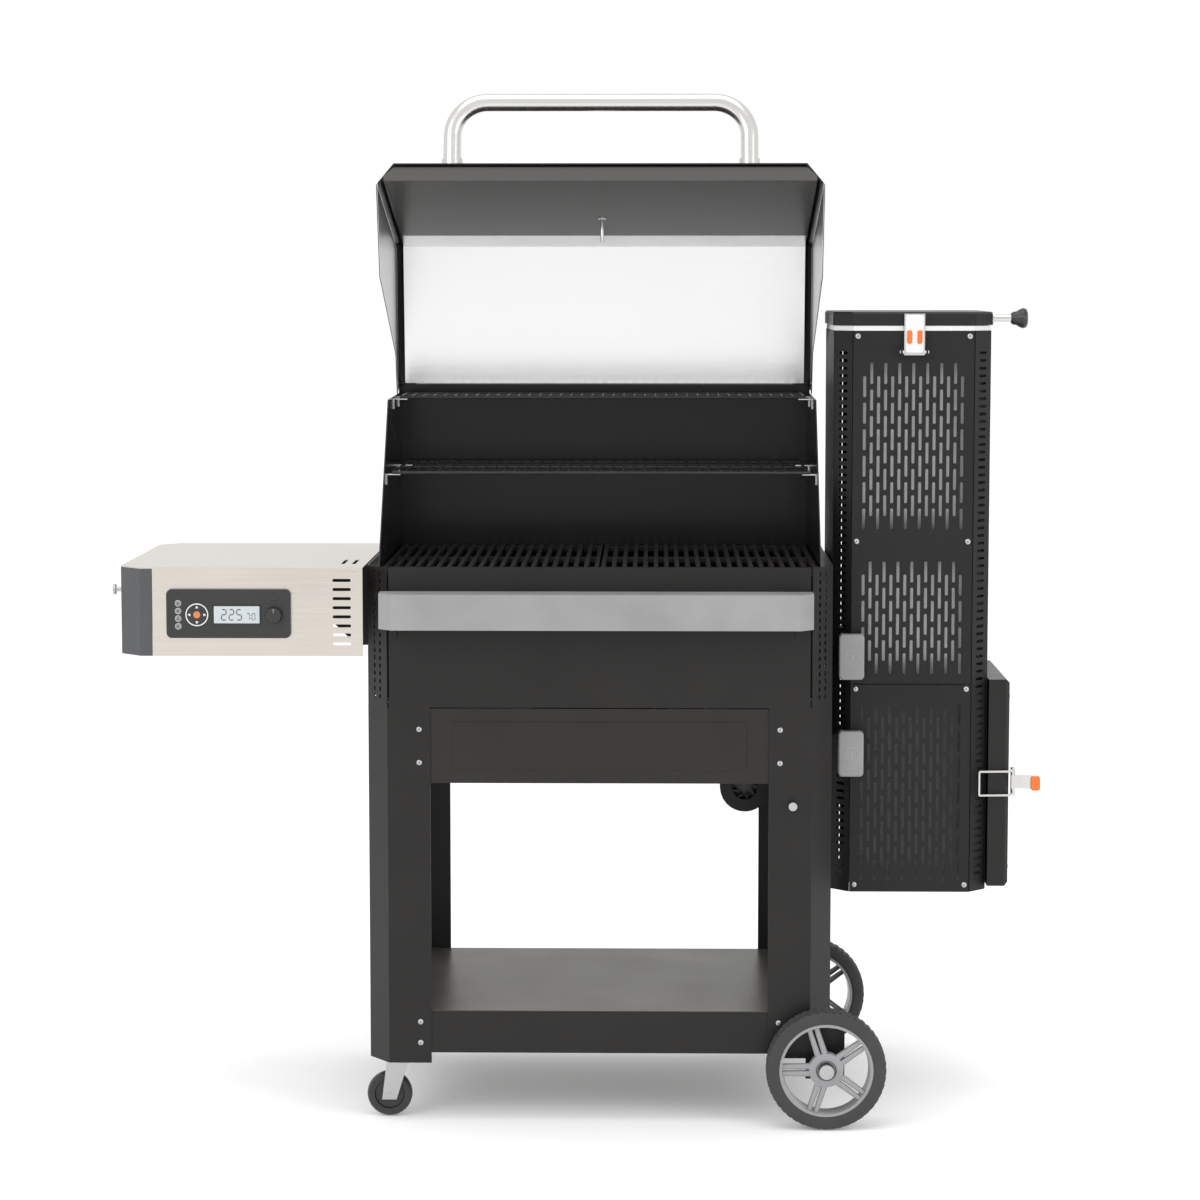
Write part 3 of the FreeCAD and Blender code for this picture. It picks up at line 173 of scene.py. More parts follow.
# %% [markdown]
# ## Finishes
#
# Most of the smoker is folded steel under a satin powder coat. Powder flows as it bakes, so it
# keeps a fine orange peel, and hands leave slightly duller patches. Bare stainless sheet shows
# the long scratches of the belt that brushed it. Cast iron keeps the sand's roughness under its
# enamel. Each finish below starts from how the real surface was made.

# %% Powder coat and enamel
def powder_coat(name, shade, roughness=0.42, peel=0.00009, whole=False):
    """Paint with orange peel: fine noise as height, broad noise as duller and cleaner patches."""
    finish = Finish(name, Specular_IOR_Level=0.22)
    patches = finish.noise(9, 4)
    fine = finish.noise(900, 2)
    speck = finish.noise(160, 3)
    dark = rgb(*(value * 0.86 for value in shade))
    finish.set("Base Color", finish.blend(finish.ramp(patches, (0.35, 0.0), (0.7, 1.0)), dark, rgb(*shade)))
    finish.set("Roughness", patches * 0.16 + speck * 0.06 + (roughness - 0.11))
    finish.bump(fine + speck * 0.5, peel, 0.5)
    return finish if whole else finish.material


def gloss_enamel(name, shade, roughness=0.2):
    """Glassy baked enamel with a faint ripple and heat haze."""
    finish = Finish(name, Specular_IOR_Level=0.2, Coat_Weight=0.12, Coat_Roughness=0.12)
    haze = finish.noise(6, 5)
    finish.set("Base Color",
               finish.blend(haze, rgb(*shade), rgb(*(value * 1.8 + 0.004 for value in shade))))
    finish.set("Roughness", haze * 0.22 + (roughness - 0.08))
    finish.bump(finish.noise(45, 2), 0.0002, 0.35)
    return finish.material


# %% Brushed, plated and cast metal
def brushed_steel(name, shade, along, roughness=0.3, contrast=0.16, whole=False):
    """Sheet brushed along one axis: noise drawn out along it, as colour, gloss and scratches."""
    stretch = [1.0, 1.0, 1.0]
    stretch["XYZ".index(along)] = 0.012
    finish = Finish(name, Metallic=1.0)
    streaks = finish.noise(520, 4, stretch, 0.65)
    clouds = finish.noise(5, 3)
    low = rgb(*(value * (1 - contrast) for value in shade))
    high = rgb(*(min(value * (1 + contrast), 1.0) for value in shade))
    finish.set("Base Color", finish.blend(streaks * 0.7 + clouds * 0.3, low, high))
    finish.set("Roughness", streaks * 0.14 + clouds * 0.1 + (roughness - 0.12))
    finish.bump(streaks, 0.00006, 0.5)
    return finish if whole else finish.material


def plated(name, shade, roughness=0.14):
    """Nickel and zinc plate: bright, with faint cloudy stains."""
    finish = Finish(name, Metallic=1.0)
    clouds = finish.noise(30, 4)
    finish.set("Base Color", finish.blend(clouds, rgb(*(value * 0.82 for value in shade)), rgb(*shade)))
    finish.set("Roughness", clouds * 0.14 + (roughness - 0.04))
    finish.bump(finish.noise(700, 2), 0.00003, 0.4)
    return finish.material


def cast_iron(name):
    """Sand-cast iron under matt enamel: two sizes of pits and a slightly brown bloom."""
    finish = Finish(name, Specular_IOR_Level=0.35)
    grit = finish.noise(420, 5, rough=0.7)
    bloom = finish.noise(14, 4)
    finish.set("Base Color", finish.blend(bloom, rgb(0.018, 0.017, 0.017), rgb(0.05, 0.045, 0.042)))
    finish.set("Roughness", grit * 0.2 + bloom * 0.12 + 0.16)
    finish.bump(grit, 0.0004, 0.6)
    return finish.material


# %% Rubber, plastic and ink
def rubber(name):
    finish = Finish(name, Sheen_Weight=0.08)
    dust = finish.noise(22, 5)
    finish.set("Base Color", finish.blend(dust, rgb(0.017, 0.017, 0.018), rgb(0.05, 0.05, 0.05)))
    finish.set("Roughness", dust * 0.2 + 0.56)
    finish.bump(finish.noise(600, 3), 0.0002, 0.4)
    return finish.material


def moulded_plastic(name, shade, roughness=0.4, grain=0.00012):
    """Moulded plastic with a spark-eroded grain."""
    finish = Finish(name)
    clouds = finish.noise(18, 3)
    finish.set("Base Color", finish.blend(clouds, rgb(*(value * 0.9 for value in shade)), rgb(*shade)))
    finish.set("Roughness", clouds * 0.12 + (roughness - 0.06))
    finish.bump(finish.noise(1400, 2), grain, 0.5)
    return finish.material


def printed(name, shade, roughness=0.5):
    """Ink or a lit segment: a plain tint with a slightly uneven edge of gloss."""
    finish = Finish(name)
    clouds = finish.noise(200, 2)
    finish.set("Base Color", finish.blend(clouds, rgb(*(value * 0.88 for value in shade)), rgb(*shade)))
    finish.set("Roughness", clouds * 0.1 + (roughness - 0.05))
    return finish.material


# %% [markdown]
# Some sheets are painted on one face and bare on the other. The frame keeps such a sheet as one
# mesh, so the second look is laid over the first by a mask: a comparison of the place with a
# height or with a distance from the middle plane.

# %% Sheet with two sides
def parted(finish_from, name, amount, colour, metallic, roughness):
    """A second look laid over a finish where an amount, built from the place on the sheet, is 1."""
    finish = finish_from(name)
    mask = amount(finish)
    for socket, value in (("Base Color", rgb(*colour)), ("Metallic", metallic), ("Roughness", roughness)):
        surface = finish.surface.inputs[socket]
        first = Signal(finish, surface.links[0].from_socket) if surface.links else surface.default_value
        if socket == "Base Color":
            finish.set(socket, finish.blend(mask, first, value))
        else:
            finish.set(socket, mask * value + (1 - mask) * first)
    return finish.material


# %% The finishes of this smoker
BLACK = powder_coat("black_powder_coat", (0.018, 0.0168, 0.016), 0.36)
FASCIA_BLACK = powder_coat("fascia_powder_coat", (0.024, 0.0222, 0.021), 0.44)
GUARD_BLACK = powder_coat("heat_guard_powder_coat", (0.014, 0.0138, 0.0135), 0.48)
HANDLE_GREY = powder_coat("gate_handle_paint", (0.50, 0.50, 0.51), 0.36)
PALE = powder_coat("pale_grey_paint", (0.30, 0.30, 0.30), 0.4)
INNER = gloss_enamel("inner_enamel", (0.005, 0.005, 0.0052))
SHELF_GREY = powder_coat("taupe_powder_coat", (0.085, 0.078, 0.068), 0.34)
MIDDLE_X = span("hood_liner")[2][0]
FOLD_Z, WALL_INSIDE = 1.4625, 0.3656


def front_of_liner(finish):
    """1 on the liner's front strip and lip, above the fold."""
    return finish.place().axis("Z").above(FOLD_Z)


def inside_of_walls(finish):
    """1 on the inner faces of the hood's side walls: |x - middle| between two limits."""
    reach = finish.math_of("ABSOLUTE", finish.place().axis("X") - MIDDLE_X)
    return reach.above(WALL_INSIDE - 0.0012) * (1 - reach.above(WALL_INSIDE))


LINER_STEEL = parted(lambda name: brushed_steel(name, (0.80, 0.80, 0.80), "X", 0.24, 0.08, True),
                     "liner_steel",
                     front_of_liner, (0.03, 0.028, 0.026), 0.0, 0.32)
HOOD_SKIN = parted(lambda name: powder_coat(name, (0.018, 0.0168, 0.016), 0.36, whole=True), "hood_skin",
                   inside_of_walls, (0.62, 0.62, 0.61), 1.0, 0.3)
HANDLE_STEEL = brushed_steel("handle_steel", (0.64, 0.63, 0.61), "X", 0.26, 0.1)
CHROME = plated("bright_plate", (0.66, 0.65, 0.63))
ZINC = plated("zinc_plate", (0.50, 0.50, 0.50), 0.3)
IRON = cast_iron("cast_iron")
TYRE = rubber("tyre_rubber")
SILVER = moulded_plastic("silver_plastic", (0.30, 0.30, 0.31), 0.34)
PLASTIC = moulded_plastic("black_plastic", (0.02, 0.02, 0.021), 0.36)
INK = printed("white_ink", (0.72, 0.73, 0.74))
SEGMENT = printed("lit_segment", (0.05, 0.055, 0.06), 0.3)
BACKLIT = printed("backlit_panel", (0.52, 0.56, 0.58), 0.25)
KEY_GREY = printed("key_grey", (0.34, 0.34, 0.34), 0.45)
AMBER = printed("amber_ink", (0.62, 0.20, 0.06), 0.4)
WIRE = gloss_enamel("black_wire", (0.02, 0.02, 0.02), 0.22)
GALVANISED = brushed_steel("galvanised_sheet", (0.82, 0.82, 0.82), "Z", 0.42, 0.16)
FIRE_STEEL = brushed_steel("heated_sheet", (0.16, 0.155, 0.15), "Z", 0.42, 0.3)
END_GREY = powder_coat("end_cap_paint", (0.085, 0.087, 0.09), 0.4)
WARM_STEEL = brushed_steel("warm_brushed_steel", (0.62, 0.58, 0.53), "X", 0.3)
ORANGE = printed("orange_paint", (0.75, 0.16, 0.02), 0.35)
GASKET = rubber("gasket")
print("finishes:", len([m for m in bpy.data.materials]))

# %% [markdown]
# ## Dressing the frame
#
# The folded sheets are right as they come, so they only need their finish. A table of finish to
# nodes keeps the choice in one place, and the loop leaves each node's mesh alone.

# %% Give the frame's nodes their finish
DRESS = {
    HOOD_SKIN: ("hood_shell",),
    BLACK: ("front_legs", "back_legs", "frame_rails", "chamber_front", "chamber_sides",
            "shelf_brackets", "hopper_lid", "ash_door", "fan_housing", "chamber_trims"),
    FASCIA_BLACK: ("front_fascia",),
    SHELF_GREY: ("bottom_shelf",),
    GUARD_BLACK: ("hopper_cover_front", "firebox_cover", "hopper_cover_sides"),
    INNER: ("chamber_walls", "chamber_back", "chamber_floor", "gate_guides"),
    GALVANISED: ("hopper_tube",),
    FIRE_STEEL: ("firebox",),
    WIRE: ("warming_racks",),
    END_GREY: ("side_shelf_end",),
    LINER_STEEL: ("hood_liner",),
    HANDLE_STEEL: ("hood_handle",),
    WARM_STEEL: ("side_shelf_front", "side_shelf_top"),
    PALE: ("front_shelf", "upper_gate", "lower_gate"),
    IRON: ("cooking_grates", "heat_manifold", "charcoal_grate"),
    CHROME: ("rack_clips", "door_latch", "hopper_latch"),
    ZINC: ("axle", "cover_screws", "grease_tray", "ash_pan", "tool_hooks", "front_caster_fork",
           "back_caster_fork"),
    TYRE: ("front_tyre", "back_tyre"),
    SILVER: ("front_rim", "back_rim"),
    PLASTIC: ("control_panel", "dial_pad", "menu_knob", "lid_knob", "front_caster_wheel", "thermometer",
              "back_caster_wheel", "fan_impeller", "button_1", "button_2", "button_3", "button_4"),
}


def dress(node, material):
    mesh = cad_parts[node].data
    mesh.materials.clear()
    mesh.materials.append(material)


for material, nodes in DRESS.items():
    for node in nodes:
        dress(node, material)
print("dressed", sum(len(nodes) for nodes in DRESS.values()), "nodes")

# %% [markdown]
# ## Surfaces from formulas
#
# A turned knob, a bent tube and a moulded cap are all one idea: a grid of points, where each row
# is a section and each column runs along it. numpy works out the whole grid at once, and one
# function turns any grid into a mesh, welds its seams and turns its faces outwards.

# %% Grids into meshes
WELD = 1e-6


def quads(grid, wrap_rows=False, wrap_columns=False):
    """Vertices and faces of a grid shaped (rows, columns, 3). A wrapped side joins its last line
    to its first."""
    rows, columns = grid.shape[:2]
    index = np.arange(rows * columns).reshape(rows, columns)
    if wrap_rows:
        index = np.vstack([index, index[:1]])
    if wrap_columns:
        index = np.hstack([index, index[:, :1]])
    faces = np.stack([index[:-1, :-1], index[:-1, 1:], index[1:, 1:], index[1:, :-1]], axis=-1)
    return grid.reshape(-1, 3), faces.reshape(-1, 4)


def joined(parts):
    """Several (vertices, faces) pairs as one pair, with the face numbers moved along."""
    starts = np.cumsum([0] + [len(vertices) for vertices, _ in parts[:-1]])
    return (np.vstack([vertices for vertices, _ in parts]),
            np.vstack([faces + start for (_, faces), start in zip(parts, starts)]))


def piece(name, parts, material, body, sharp=35, replaces=()):
    """Puts surfaces into one object that rides on a body: seams welded, faces outwards, edges over
    an angle kept sharp."""
    vertices, faces = joined(parts)
    mesh = bpy.data.meshes.new(name)
    mesh.from_pydata(vertices.tolist(), [], faces.tolist())
    shape = bmesh.new()
    shape.from_mesh(mesh)
    bmesh.ops.remove_doubles(shape, verts=shape.verts, dist=WELD)
    bmesh.ops.dissolve_degenerate(shape, edges=shape.edges, dist=WELD)
    bmesh.ops.recalc_face_normals(shape, faces=shape.faces)
    shape.to_mesh(mesh)
    shape.free()
    mesh.polygons.foreach_set("use_smooth", np.ones(len(mesh.polygons), bool))
    mesh.set_sharp_from_angle(angle=math.radians(sharp))
    mesh.materials.append(material)
    made = bpy.data.objects.new(name, mesh)
    bpy.context.scene.collection.objects.link(made)
    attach(made, body)
    if replaces:
        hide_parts(*replaces)
    return made


# %% Turned, swept and moulded surfaces
AXES = {"X": ((0, 1, 0), (0, 0, 1)), "Y": ((0, 0, 1), (1, 0, 0)), "Z": ((1, 0, 0), (0, 1, 0))}


def turned(profile, centre, axis, steps=48, start=0.0):
    """A lathe: each (along, radius) of the profile goes round the axis, centre + along*axis +
    radius*(cos t * u + sin t * v). A radius of 0 closes an end."""
    profile = np.asarray(profile, float)
    u, v = (np.array(way, float) for way in AXES[axis])
    turn = start + np.linspace(0, 2 * np.pi, steps, endpoint=False)
    spokes = np.cos(turn)[:, None] * u + np.sin(turn)[:, None] * v
    grid = (np.asarray(centre) + profile[:, None, :1] * np.cross(u, v) + profile[:, None, 1:] * spokes)
    return quads(grid, wrap_columns=True)


def swept(path, radius, steps=12, closed=False):
    """A round rod along a path: at each point a circle stands across the path's direction, in a
    frame carried along without twist. The ends are closed by a point."""
    path = np.asarray(path, float)
    ahead = np.roll(path, -1, 0) - np.roll(path, 1, 0)
    if not closed:
        ahead[0], ahead[-1] = path[1] - path[0], path[-1] - path[-2]
    ahead /= np.linalg.norm(ahead, axis=1, keepdims=True)
    side = np.cross(ahead, np.array([0.31, 0.57, 0.76]))
    side /= np.linalg.norm(side, axis=1, keepdims=True)
    other = np.cross(ahead, side)
    turn = np.linspace(0, 2 * np.pi, steps, endpoint=False)[None, :, None]
    grid = path[:, None] + radius * (np.cos(turn) * side[:, None] + np.sin(turn) * other[:, None])
    if closed:
        return quads(grid, wrap_rows=True, wrap_columns=True)
    ends = [np.repeat(path[end][None, None], steps, 1) for end in (0, -1)]
    return quads(np.concatenate([ends[0], grid, ends[1]]), wrap_columns=True)


def rounded_outline(width, height, corner, steps=6):
    """Points round a rectangle with round corners: four quarter circles, one after another."""
    quarter = np.linspace(0, np.pi / 2, steps)
    middle = np.array([width, height]) / 2 - corner
    signs = ((1, 1), (-1, 1), (-1, -1), (1, -1))
    arcs = [middle * sign + corner * np.stack([np.cos(quarter + k * np.pi / 2),
                                               np.sin(quarter + k * np.pi / 2)], 1)
            for k, sign in enumerate(signs)]
    return np.concatenate(arcs)


def moulded(width, height, corner, layers, centre, across, up, out):
    """A cushion-edged block: each layer (level, inset) is the rounded outline drawn in by inset and
    raised by level along out. The first and last layers shrink to a point."""
    across, up, out = (np.array(way, float) for way in (across, up, out))
    rings = []
    for level, inset in layers:
        small = max(corner - inset, 0.0002)
        flat = rounded_outline(width - 2 * inset, height - 2 * inset, small)
        rings.append(np.asarray(centre) + level * out + flat[:, :1] * across + flat[:, 1:] * up)
    grid = np.array(rings)
    ends = [np.repeat(grid[end].mean(0)[None, None], grid.shape[1], 1) for end in (0, -1)]
    return quads(np.concatenate([ends[0], grid, ends[1]]), wrap_columns=True)


RIGHT, UP, FRONT = (1, 0, 0), (0, 0, 1), (0, -1, 0)

# %% [markdown]
# ## Wheels
#
# The cart rolls on two treaded tyres over silver spoked rims. The tyre's section is a rounded
# rectangle, so a superellipse gives its shoulders, and the tread is cut by lowering the radius
# where a slanted wave is below zero. The rim is turned, and each of its five spokes is a pair of
# ridges, which are two moulded bars side by side.

# %% Treaded tyres
def tyre(node, body):
    """r = middle + half * s(sin t), y = width/2 * s(cos t), with s(x) = sign(x)|x|^0.45; the tread
    lowers r near the top where a slanted wave round the wheel is negative."""
    low, high, centre = span(node)
    outer, width = (high[2] - low[2]) / 2 - 0.0003, high[1] - low[1]
    inner = outer * 0.765
    turn = np.linspace(0, 2 * np.pi, 480, endpoint=False)[:, None]
    t = np.linspace(0, 2 * np.pi, 40, endpoint=False)[None, :]
    rounded = lambda x, power: np.sign(x) * np.abs(x) ** power
    side = width / 2 * rounded(np.cos(t), 0.42) + 0 * turn
    lift = rounded(np.sin(t), 0.42)
    wave = np.sin(48 * turn + 2.6 * np.abs(np.cos(t)) * 2)
    tread = np.where((lift > 0.82) & (wave < -0.15) & (np.abs(np.cos(t)) > 0.18), 0.0032, 0.0)
    groove = np.where((lift > 0.9) & (np.abs(np.abs(np.cos(t)) - 0.12) < 0.05), 0.0026, 0.0)
    r = (outer + inner) / 2 + (outer - inner) / 2 * lift - tread - groove
    grid = centre + np.stack([r * np.cos(turn), side, r * np.sin(turn)], axis=-1)
    piece(node + "_tread", [quads(grid, True, True)], TYRE, body, 28, (node,))


tyre("front_tyre", "front_wheel")
tyre("back_tyre", "back_wheel")

# %% Rims with double spokes
def spoke_bar(centre, angle, offset, near, far, face_y, back_y, half):
    """A ridge from near to far of the hub, offset sideways: its section is a half round towards
    the face, and it narrows outwards by a tenth."""
    along = np.linspace(near, far, 12)[:, None]
    t = np.linspace(0, np.pi, 14)[None, :]
    narrow = half * (1.12 - 0.2 * (along - near) / (far - near))
    side = offset + narrow * np.cos(t)
    proud = face_y + (back_y - face_y) * (1 - np.sin(t) ** 0.6) * 0.5
    way = np.array([math.cos(angle), 0, math.sin(angle)])
    across = np.array([-math.sin(angle), 0, math.cos(angle)])
    grid = centre * np.array([1, 0, 1]) + along[..., None] * way + side[..., None] * across
    grid = grid + proud[..., None] * np.array([0, 1, 0]) + 0 * along[..., None]
    return quads(grid)


def rim(node, body, outward):
    low, high, centre = span(node)
    radius, half = (high[2] - low[2]) / 2, (high[1] - low[1]) / 2
    face = centre[1] + outward * half
    edge, hub = radius - 0.0006, 0.029
    o = outward
    ring = turned([(-half, edge), (-half, edge - 0.006), (half * 0.72, edge - 0.0085),
                   (half * 0.86, edge - 0.007),
                   (half, edge - 0.004), (half, edge), (-half, edge)], centre, "Y", 120)
    boss = turned([(o * half * 0.1, hub), (o * half * 0.80, hub - 0.001), (o * half * 0.92, hub - 0.004),
                   (o * half * 0.92, 0.017), (o * half * 0.62, 0.0155),
                   (o * half * 0.62, 0.0085)], centre, "Y", 72)
    cap = turned([(o * half * 0.62, 0.0125), (o * half * 1.02, 0.012), (o * half * 1.14, 0.0095),
                  (o * half * 1.2, 0.005), (o * half * 1.21, 0)], centre, "Y", 48)
    spokes = []
    for index in range(5):
        angle = math.radians(90 - 54 + 72 * index)
        for offset in (-0.0058, 0.0058):
            spokes.append(spoke_bar(centre, angle, offset, hub - 0.002, edge - 0.006,
                                    face - outward * 0.003, centre[1], 0.0046))
    piece(node + "_spokes", [ring, boss] + spokes, SILVER, body, 40, (node,))
    piece(node + "_cap", [cap], PLASTIC, body, 40)


rim("front_rim", "front_wheel", -1)
rim("back_rim", "back_wheel", 1)


# %% Caster tyres and hubs
def caster(node, body):
    """A turned tyre with a crowned tread, and a stepped hub on each side."""
    low, high, centre = span(node)
    radius, half = (high[2] - low[2]) / 2, (high[1] - low[1]) / 2
    crown = np.linspace(-1, 1, 13)
    tread = [(half * 0.98 * c, radius - 0.004 * abs(c) ** 3.2) for c in crown]
    shape = [(-half * 0.9, radius * 0.66)] + tread + [(half * 0.9, radius * 0.66),
                                                      (half * 0.55, radius * 0.62),
             (half * 0.55, 0.010), (half, 0.009), (half, 0.0045), (-half, 0.0045), (-half, 0.009),
             (-half * 0.55, 0.010), (-half * 0.55, radius * 0.62), (-half * 0.9, radius * 0.66)]
    piece(node + "_tyre", [turned(shape, centre, "Y", 96)], PLASTIC, body, 35, (node,))


caster("front_caster_wheel", "front_caster_wheel")
caster("back_caster_wheel", "back_caster_wheel")

# %% [markdown]
# ## Control panel
#
# The keys are turned domes, the knob is a lathe whose radius carries a fine wave, and the
# display's digits are built from the seven bars of every clock. Each mark stands a few tenths of
# a millimetre proud, so it is a shape and not only a tint.

# %% Keys, dial and knob
def slab(width, height, corner, thick, centre, across=RIGHT, up=UP, out=FRONT):
    """A thin block with a rounded outline and a softened front edge."""
    soft = min(thick * 0.4, corner * 0.5)
    return moulded(width, height, corner, [(0, 0), (thick - soft, 0), (thick, soft)], centre, across, up,
                   out)


panel_low, panel_high, _ = span("control_panel")
PANEL_FACE = panel_low[1] + 0.0006
for number in range(1, 5):
    low, high, centre = span(f"button_{number}")
    radius, face = (high[0] - low[0]) / 2, low[1]
    dome = [(0.006, 0.0), (0.006, radius), (0.0012, radius), (0.0004, radius * 0.9), (0.0, radius * 0.6),
            (0.0, 0.0)]
    foot = np.array([centre[0], face, centre[2]])
    piece(f"button_{number}_cap", [turned(dome, foot, "Y", 32)], KEY_GREY, f"button_{number}", 40,
          (f"button_{number}",))
    icon = turned([(-0.0001, 0.0012), (-0.0003, 0.0013), (-0.0003, 0.0019), (-0.0001, 0.002)], foot, "Y",
                  24)
    stroke = slab(0.0006, 0.0022, 0.0002, 0.0003, foot, RIGHT, UP)
    piece(f"button_{number}_icon", [icon, stroke], PLASTIC, f"button_{number}")
    halo = turned([(-0.0001, radius + 0.0007), (-0.0003, radius + 0.0009), (-0.0003, radius + 0.0013),
                   (-0.0001, radius + 0.0015)], np.array([centre[0], PANEL_FACE, centre[2]]), "Y", 40)
    piece(f"button_{number}_halo", [halo], INK, "cart")

low, high, centre = span("dial_pad")
dial_r, dial_foot = (high[0] - low[0]) / 2, np.array([centre[0], low[1], centre[2]])
disc = [(0.008, 0.0), (0.008, dial_r), (0.0008, dial_r), (0.0, dial_r - 0.0012), (0.0003, dial_r * 0.8),
        (0.0003, dial_r * 0.5), (0.0, dial_r * 0.45), (-0.0002, dial_r * 0.34), (-0.0002, 0.0)]
piece("dial_pad_disc", [turned(disc, dial_foot, "Y", 72)], PLASTIC, "dial_pad", 40, ("dial_pad",))
rim_band = turned([(0.0002, dial_r * 0.86), (-0.0003, dial_r * 0.88), (-0.0003, dial_r * 0.94),
                   (0.0002, dial_r * 0.96)], dial_foot, "Y", 72)
arrows = []
for quarter in range(4):
    angle = quarter * math.pi / 2
    out = np.array([math.cos(angle), 0, math.sin(angle)])
    across = np.array([-math.sin(angle), 0, math.cos(angle)])
    for step in range(3):
        reach = dial_r * (0.58 + 0.07 * step)
        arrows.append(slab(0.0045 * (1 - step * 0.32), 0.0013, 0.0003, 0.0004, dial_foot + out * reach,
                           across, out))
piece("dial_pad_arrows", [rim_band] + arrows, INK, "dial_pad")
piece("dial_pad_heart",
      [turned([(-0.0001, dial_r * 0.30), (-0.0005, dial_r * 0.28), (-0.0006, 0.0)], dial_foot,
                                "Y", 40)], AMBER, "dial_pad")

low, high, centre = span("menu_knob")
grip_r, back = (high[0] - low[0]) / 2, PANEL_FACE


def ribbed(profile, centre, ribs, depth, steps=240):
    """A lathe along Y whose radius is r - depth * (1 - |cos(ribs t / 2)|) where the profile asks for it."""
    t = np.linspace(0, 2 * np.pi, steps, endpoint=False)[None, :]
    along, radius, cut = (np.array(column)[:, None] for column in zip(*profile))
    r = radius - cut * depth * (1 - np.abs(np.cos(ribs * t / 2)))
    grid = np.stack([r * np.sin(t), along + 0 * t, r * np.cos(t)], axis=-1) + centre
    return quads(grid, wrap_columns=True)


knob_foot = np.array([centre[0], back, centre[2]])
knob = [(0.006, 0.0029, 0), (-0.0004, 0.003, 0), (-0.0008, grip_r, 0), (-0.0016, grip_r, 1),
        (-0.0105, grip_r * 0.93, 1), (-0.0118, grip_r * 0.88, 1), (-0.0122, grip_r * 0.8, 0),
        (-0.0119, grip_r * 0.5, 0), (-0.0119, 0.0, 0)]
piece("menu_knob_grip", [ribbed(knob, knob_foot, 26, 0.0009)], PLASTIC, "menu_knob", 30, ("menu_knob",))
piece("menu_knob_mark",
      [slab(0.0012, 0.006, 0.0004, 0.0005, knob_foot + np.array([0, -0.0119, grip_r * 0.55]))],
      KEY_GREY, "menu_knob")
print("keys, dial and knob are in place")

# %% Display
SEGMENTS = {"0": "abcdef", "2": "abged", "5": "afgcd", "7": "abc", "8": "abcdefg"}
BARS = {"a": (0, 1, 0), "g": (0, 0, 0), "d": (0, -1, 0), "b": (1, 0.5, 1), "c": (1, -0.5, 1),
        "f": (-1, 0.5, 1),
        "e": (-1, -0.5, 1)}


def digit(symbol, centre, wide, tall):
    """The lit bars of one symbol: each bar is (column, row, upright) in units of half its box."""
    bars = []
    for name in SEGMENTS[symbol]:
        column, row, upright = BARS[name]
        size = (wide * 0.2, tall * 0.4) if upright else (wide * 0.72, tall * 0.1)
        middle = centre + np.array([column * wide / 2, 0, row * tall / 2])
        bars.append(slab(size[0], size[1], 0.0003, 0.0003, middle))
    return bars


glass_x = (panel_low[0] + 0.0765, panel_low[0] + 0.154)     # where the frame's window sits
glass_z = (panel_low[2] + 0.023, panel_low[2] + 0.054)
glass_mid = np.array([sum(glass_x) / 2, panel_low[1] - 0.0001, sum(glass_z) / 2])
glass_size = (glass_x[1] - glass_x[0], glass_z[1] - glass_z[0])
piece("display_face", [slab(glass_size[0] - 0.003, glass_size[1] - 0.003, 0.0012, 0.0004, glass_mid)],
      BACKLIT, "cart")
frame_bars = [slab(glass_size[0] + 0.003, 0.0012, 0.0004, 0.0008,
                   glass_mid + np.array([0, 0, side * glass_size[1] / 2]))
              for side in (-1, 1)]
frame_bars += [slab(0.0012, glass_size[1] + 0.003, 0.0004, 0.0008,
                    glass_mid + np.array([side * glass_size[0] / 2, 0, 0]))
               for side in (-1, 1)]
piece("display_bezel", frame_bars, PLASTIC, "cart")
number_bars = []
for place, symbol in enumerate("225"):
    number_bars += digit(symbol, glass_mid + np.array([-0.021 + place * 0.0125, -0.0004, 0]), 0.0075, 0.017)
for place, symbol in enumerate("70"):
    number_bars += digit(symbol, glass_mid + np.array([0.019 + place * 0.0085, -0.0004, -0.003]), 0.0048,
                         0.0105)
piece("display_digits", number_bars, SEGMENT, "cart")
socket_mid = np.array([panel_high[0] - 0.026, PANEL_FACE, panel_high[2] - 0.016])
piece("probe_socket",
      [slab(0.016, 0.005, 0.0024, 0.0006, socket_mid), slab(0.012, 0.0026, 0.0012, 0.001, socket_mid)],
      PLASTIC, "cart")
print("display with", len(number_bars), "bars")

# %% [markdown]
# ## Steel fittings
#
# Screws, bezels, rods and latches are small, but they are what tells folded sheet from a plain
# block. Most of them are lathes, so a list of (along, radius) pairs is the whole drawing of a
# screw, a rod or a knob, and each rides on the body that it is fixed to.

# %% Screws

def screw(foot, facing, radius=0.0045, turn=0.0):
    """A pan head standing out from its foot along -Y or +X, with a turned cup in its middle."""
    axis = "Y" if facing == "Y" else "X"
    sign = -1 if facing == "Y" else 1
    head = [(0.0, 0.0), (0.0, radius), (sign * 0.0009, radius), (sign * 0.0018, radius * 0.82),
            (sign * 0.0023, radius * 0.5), (sign * 0.0023, radius * 0.32), (sign * 0.0010, radius * 0.12),
            (sign * 0.0009, 0.0)]
    return turned(head, foot, axis, 28, turn)


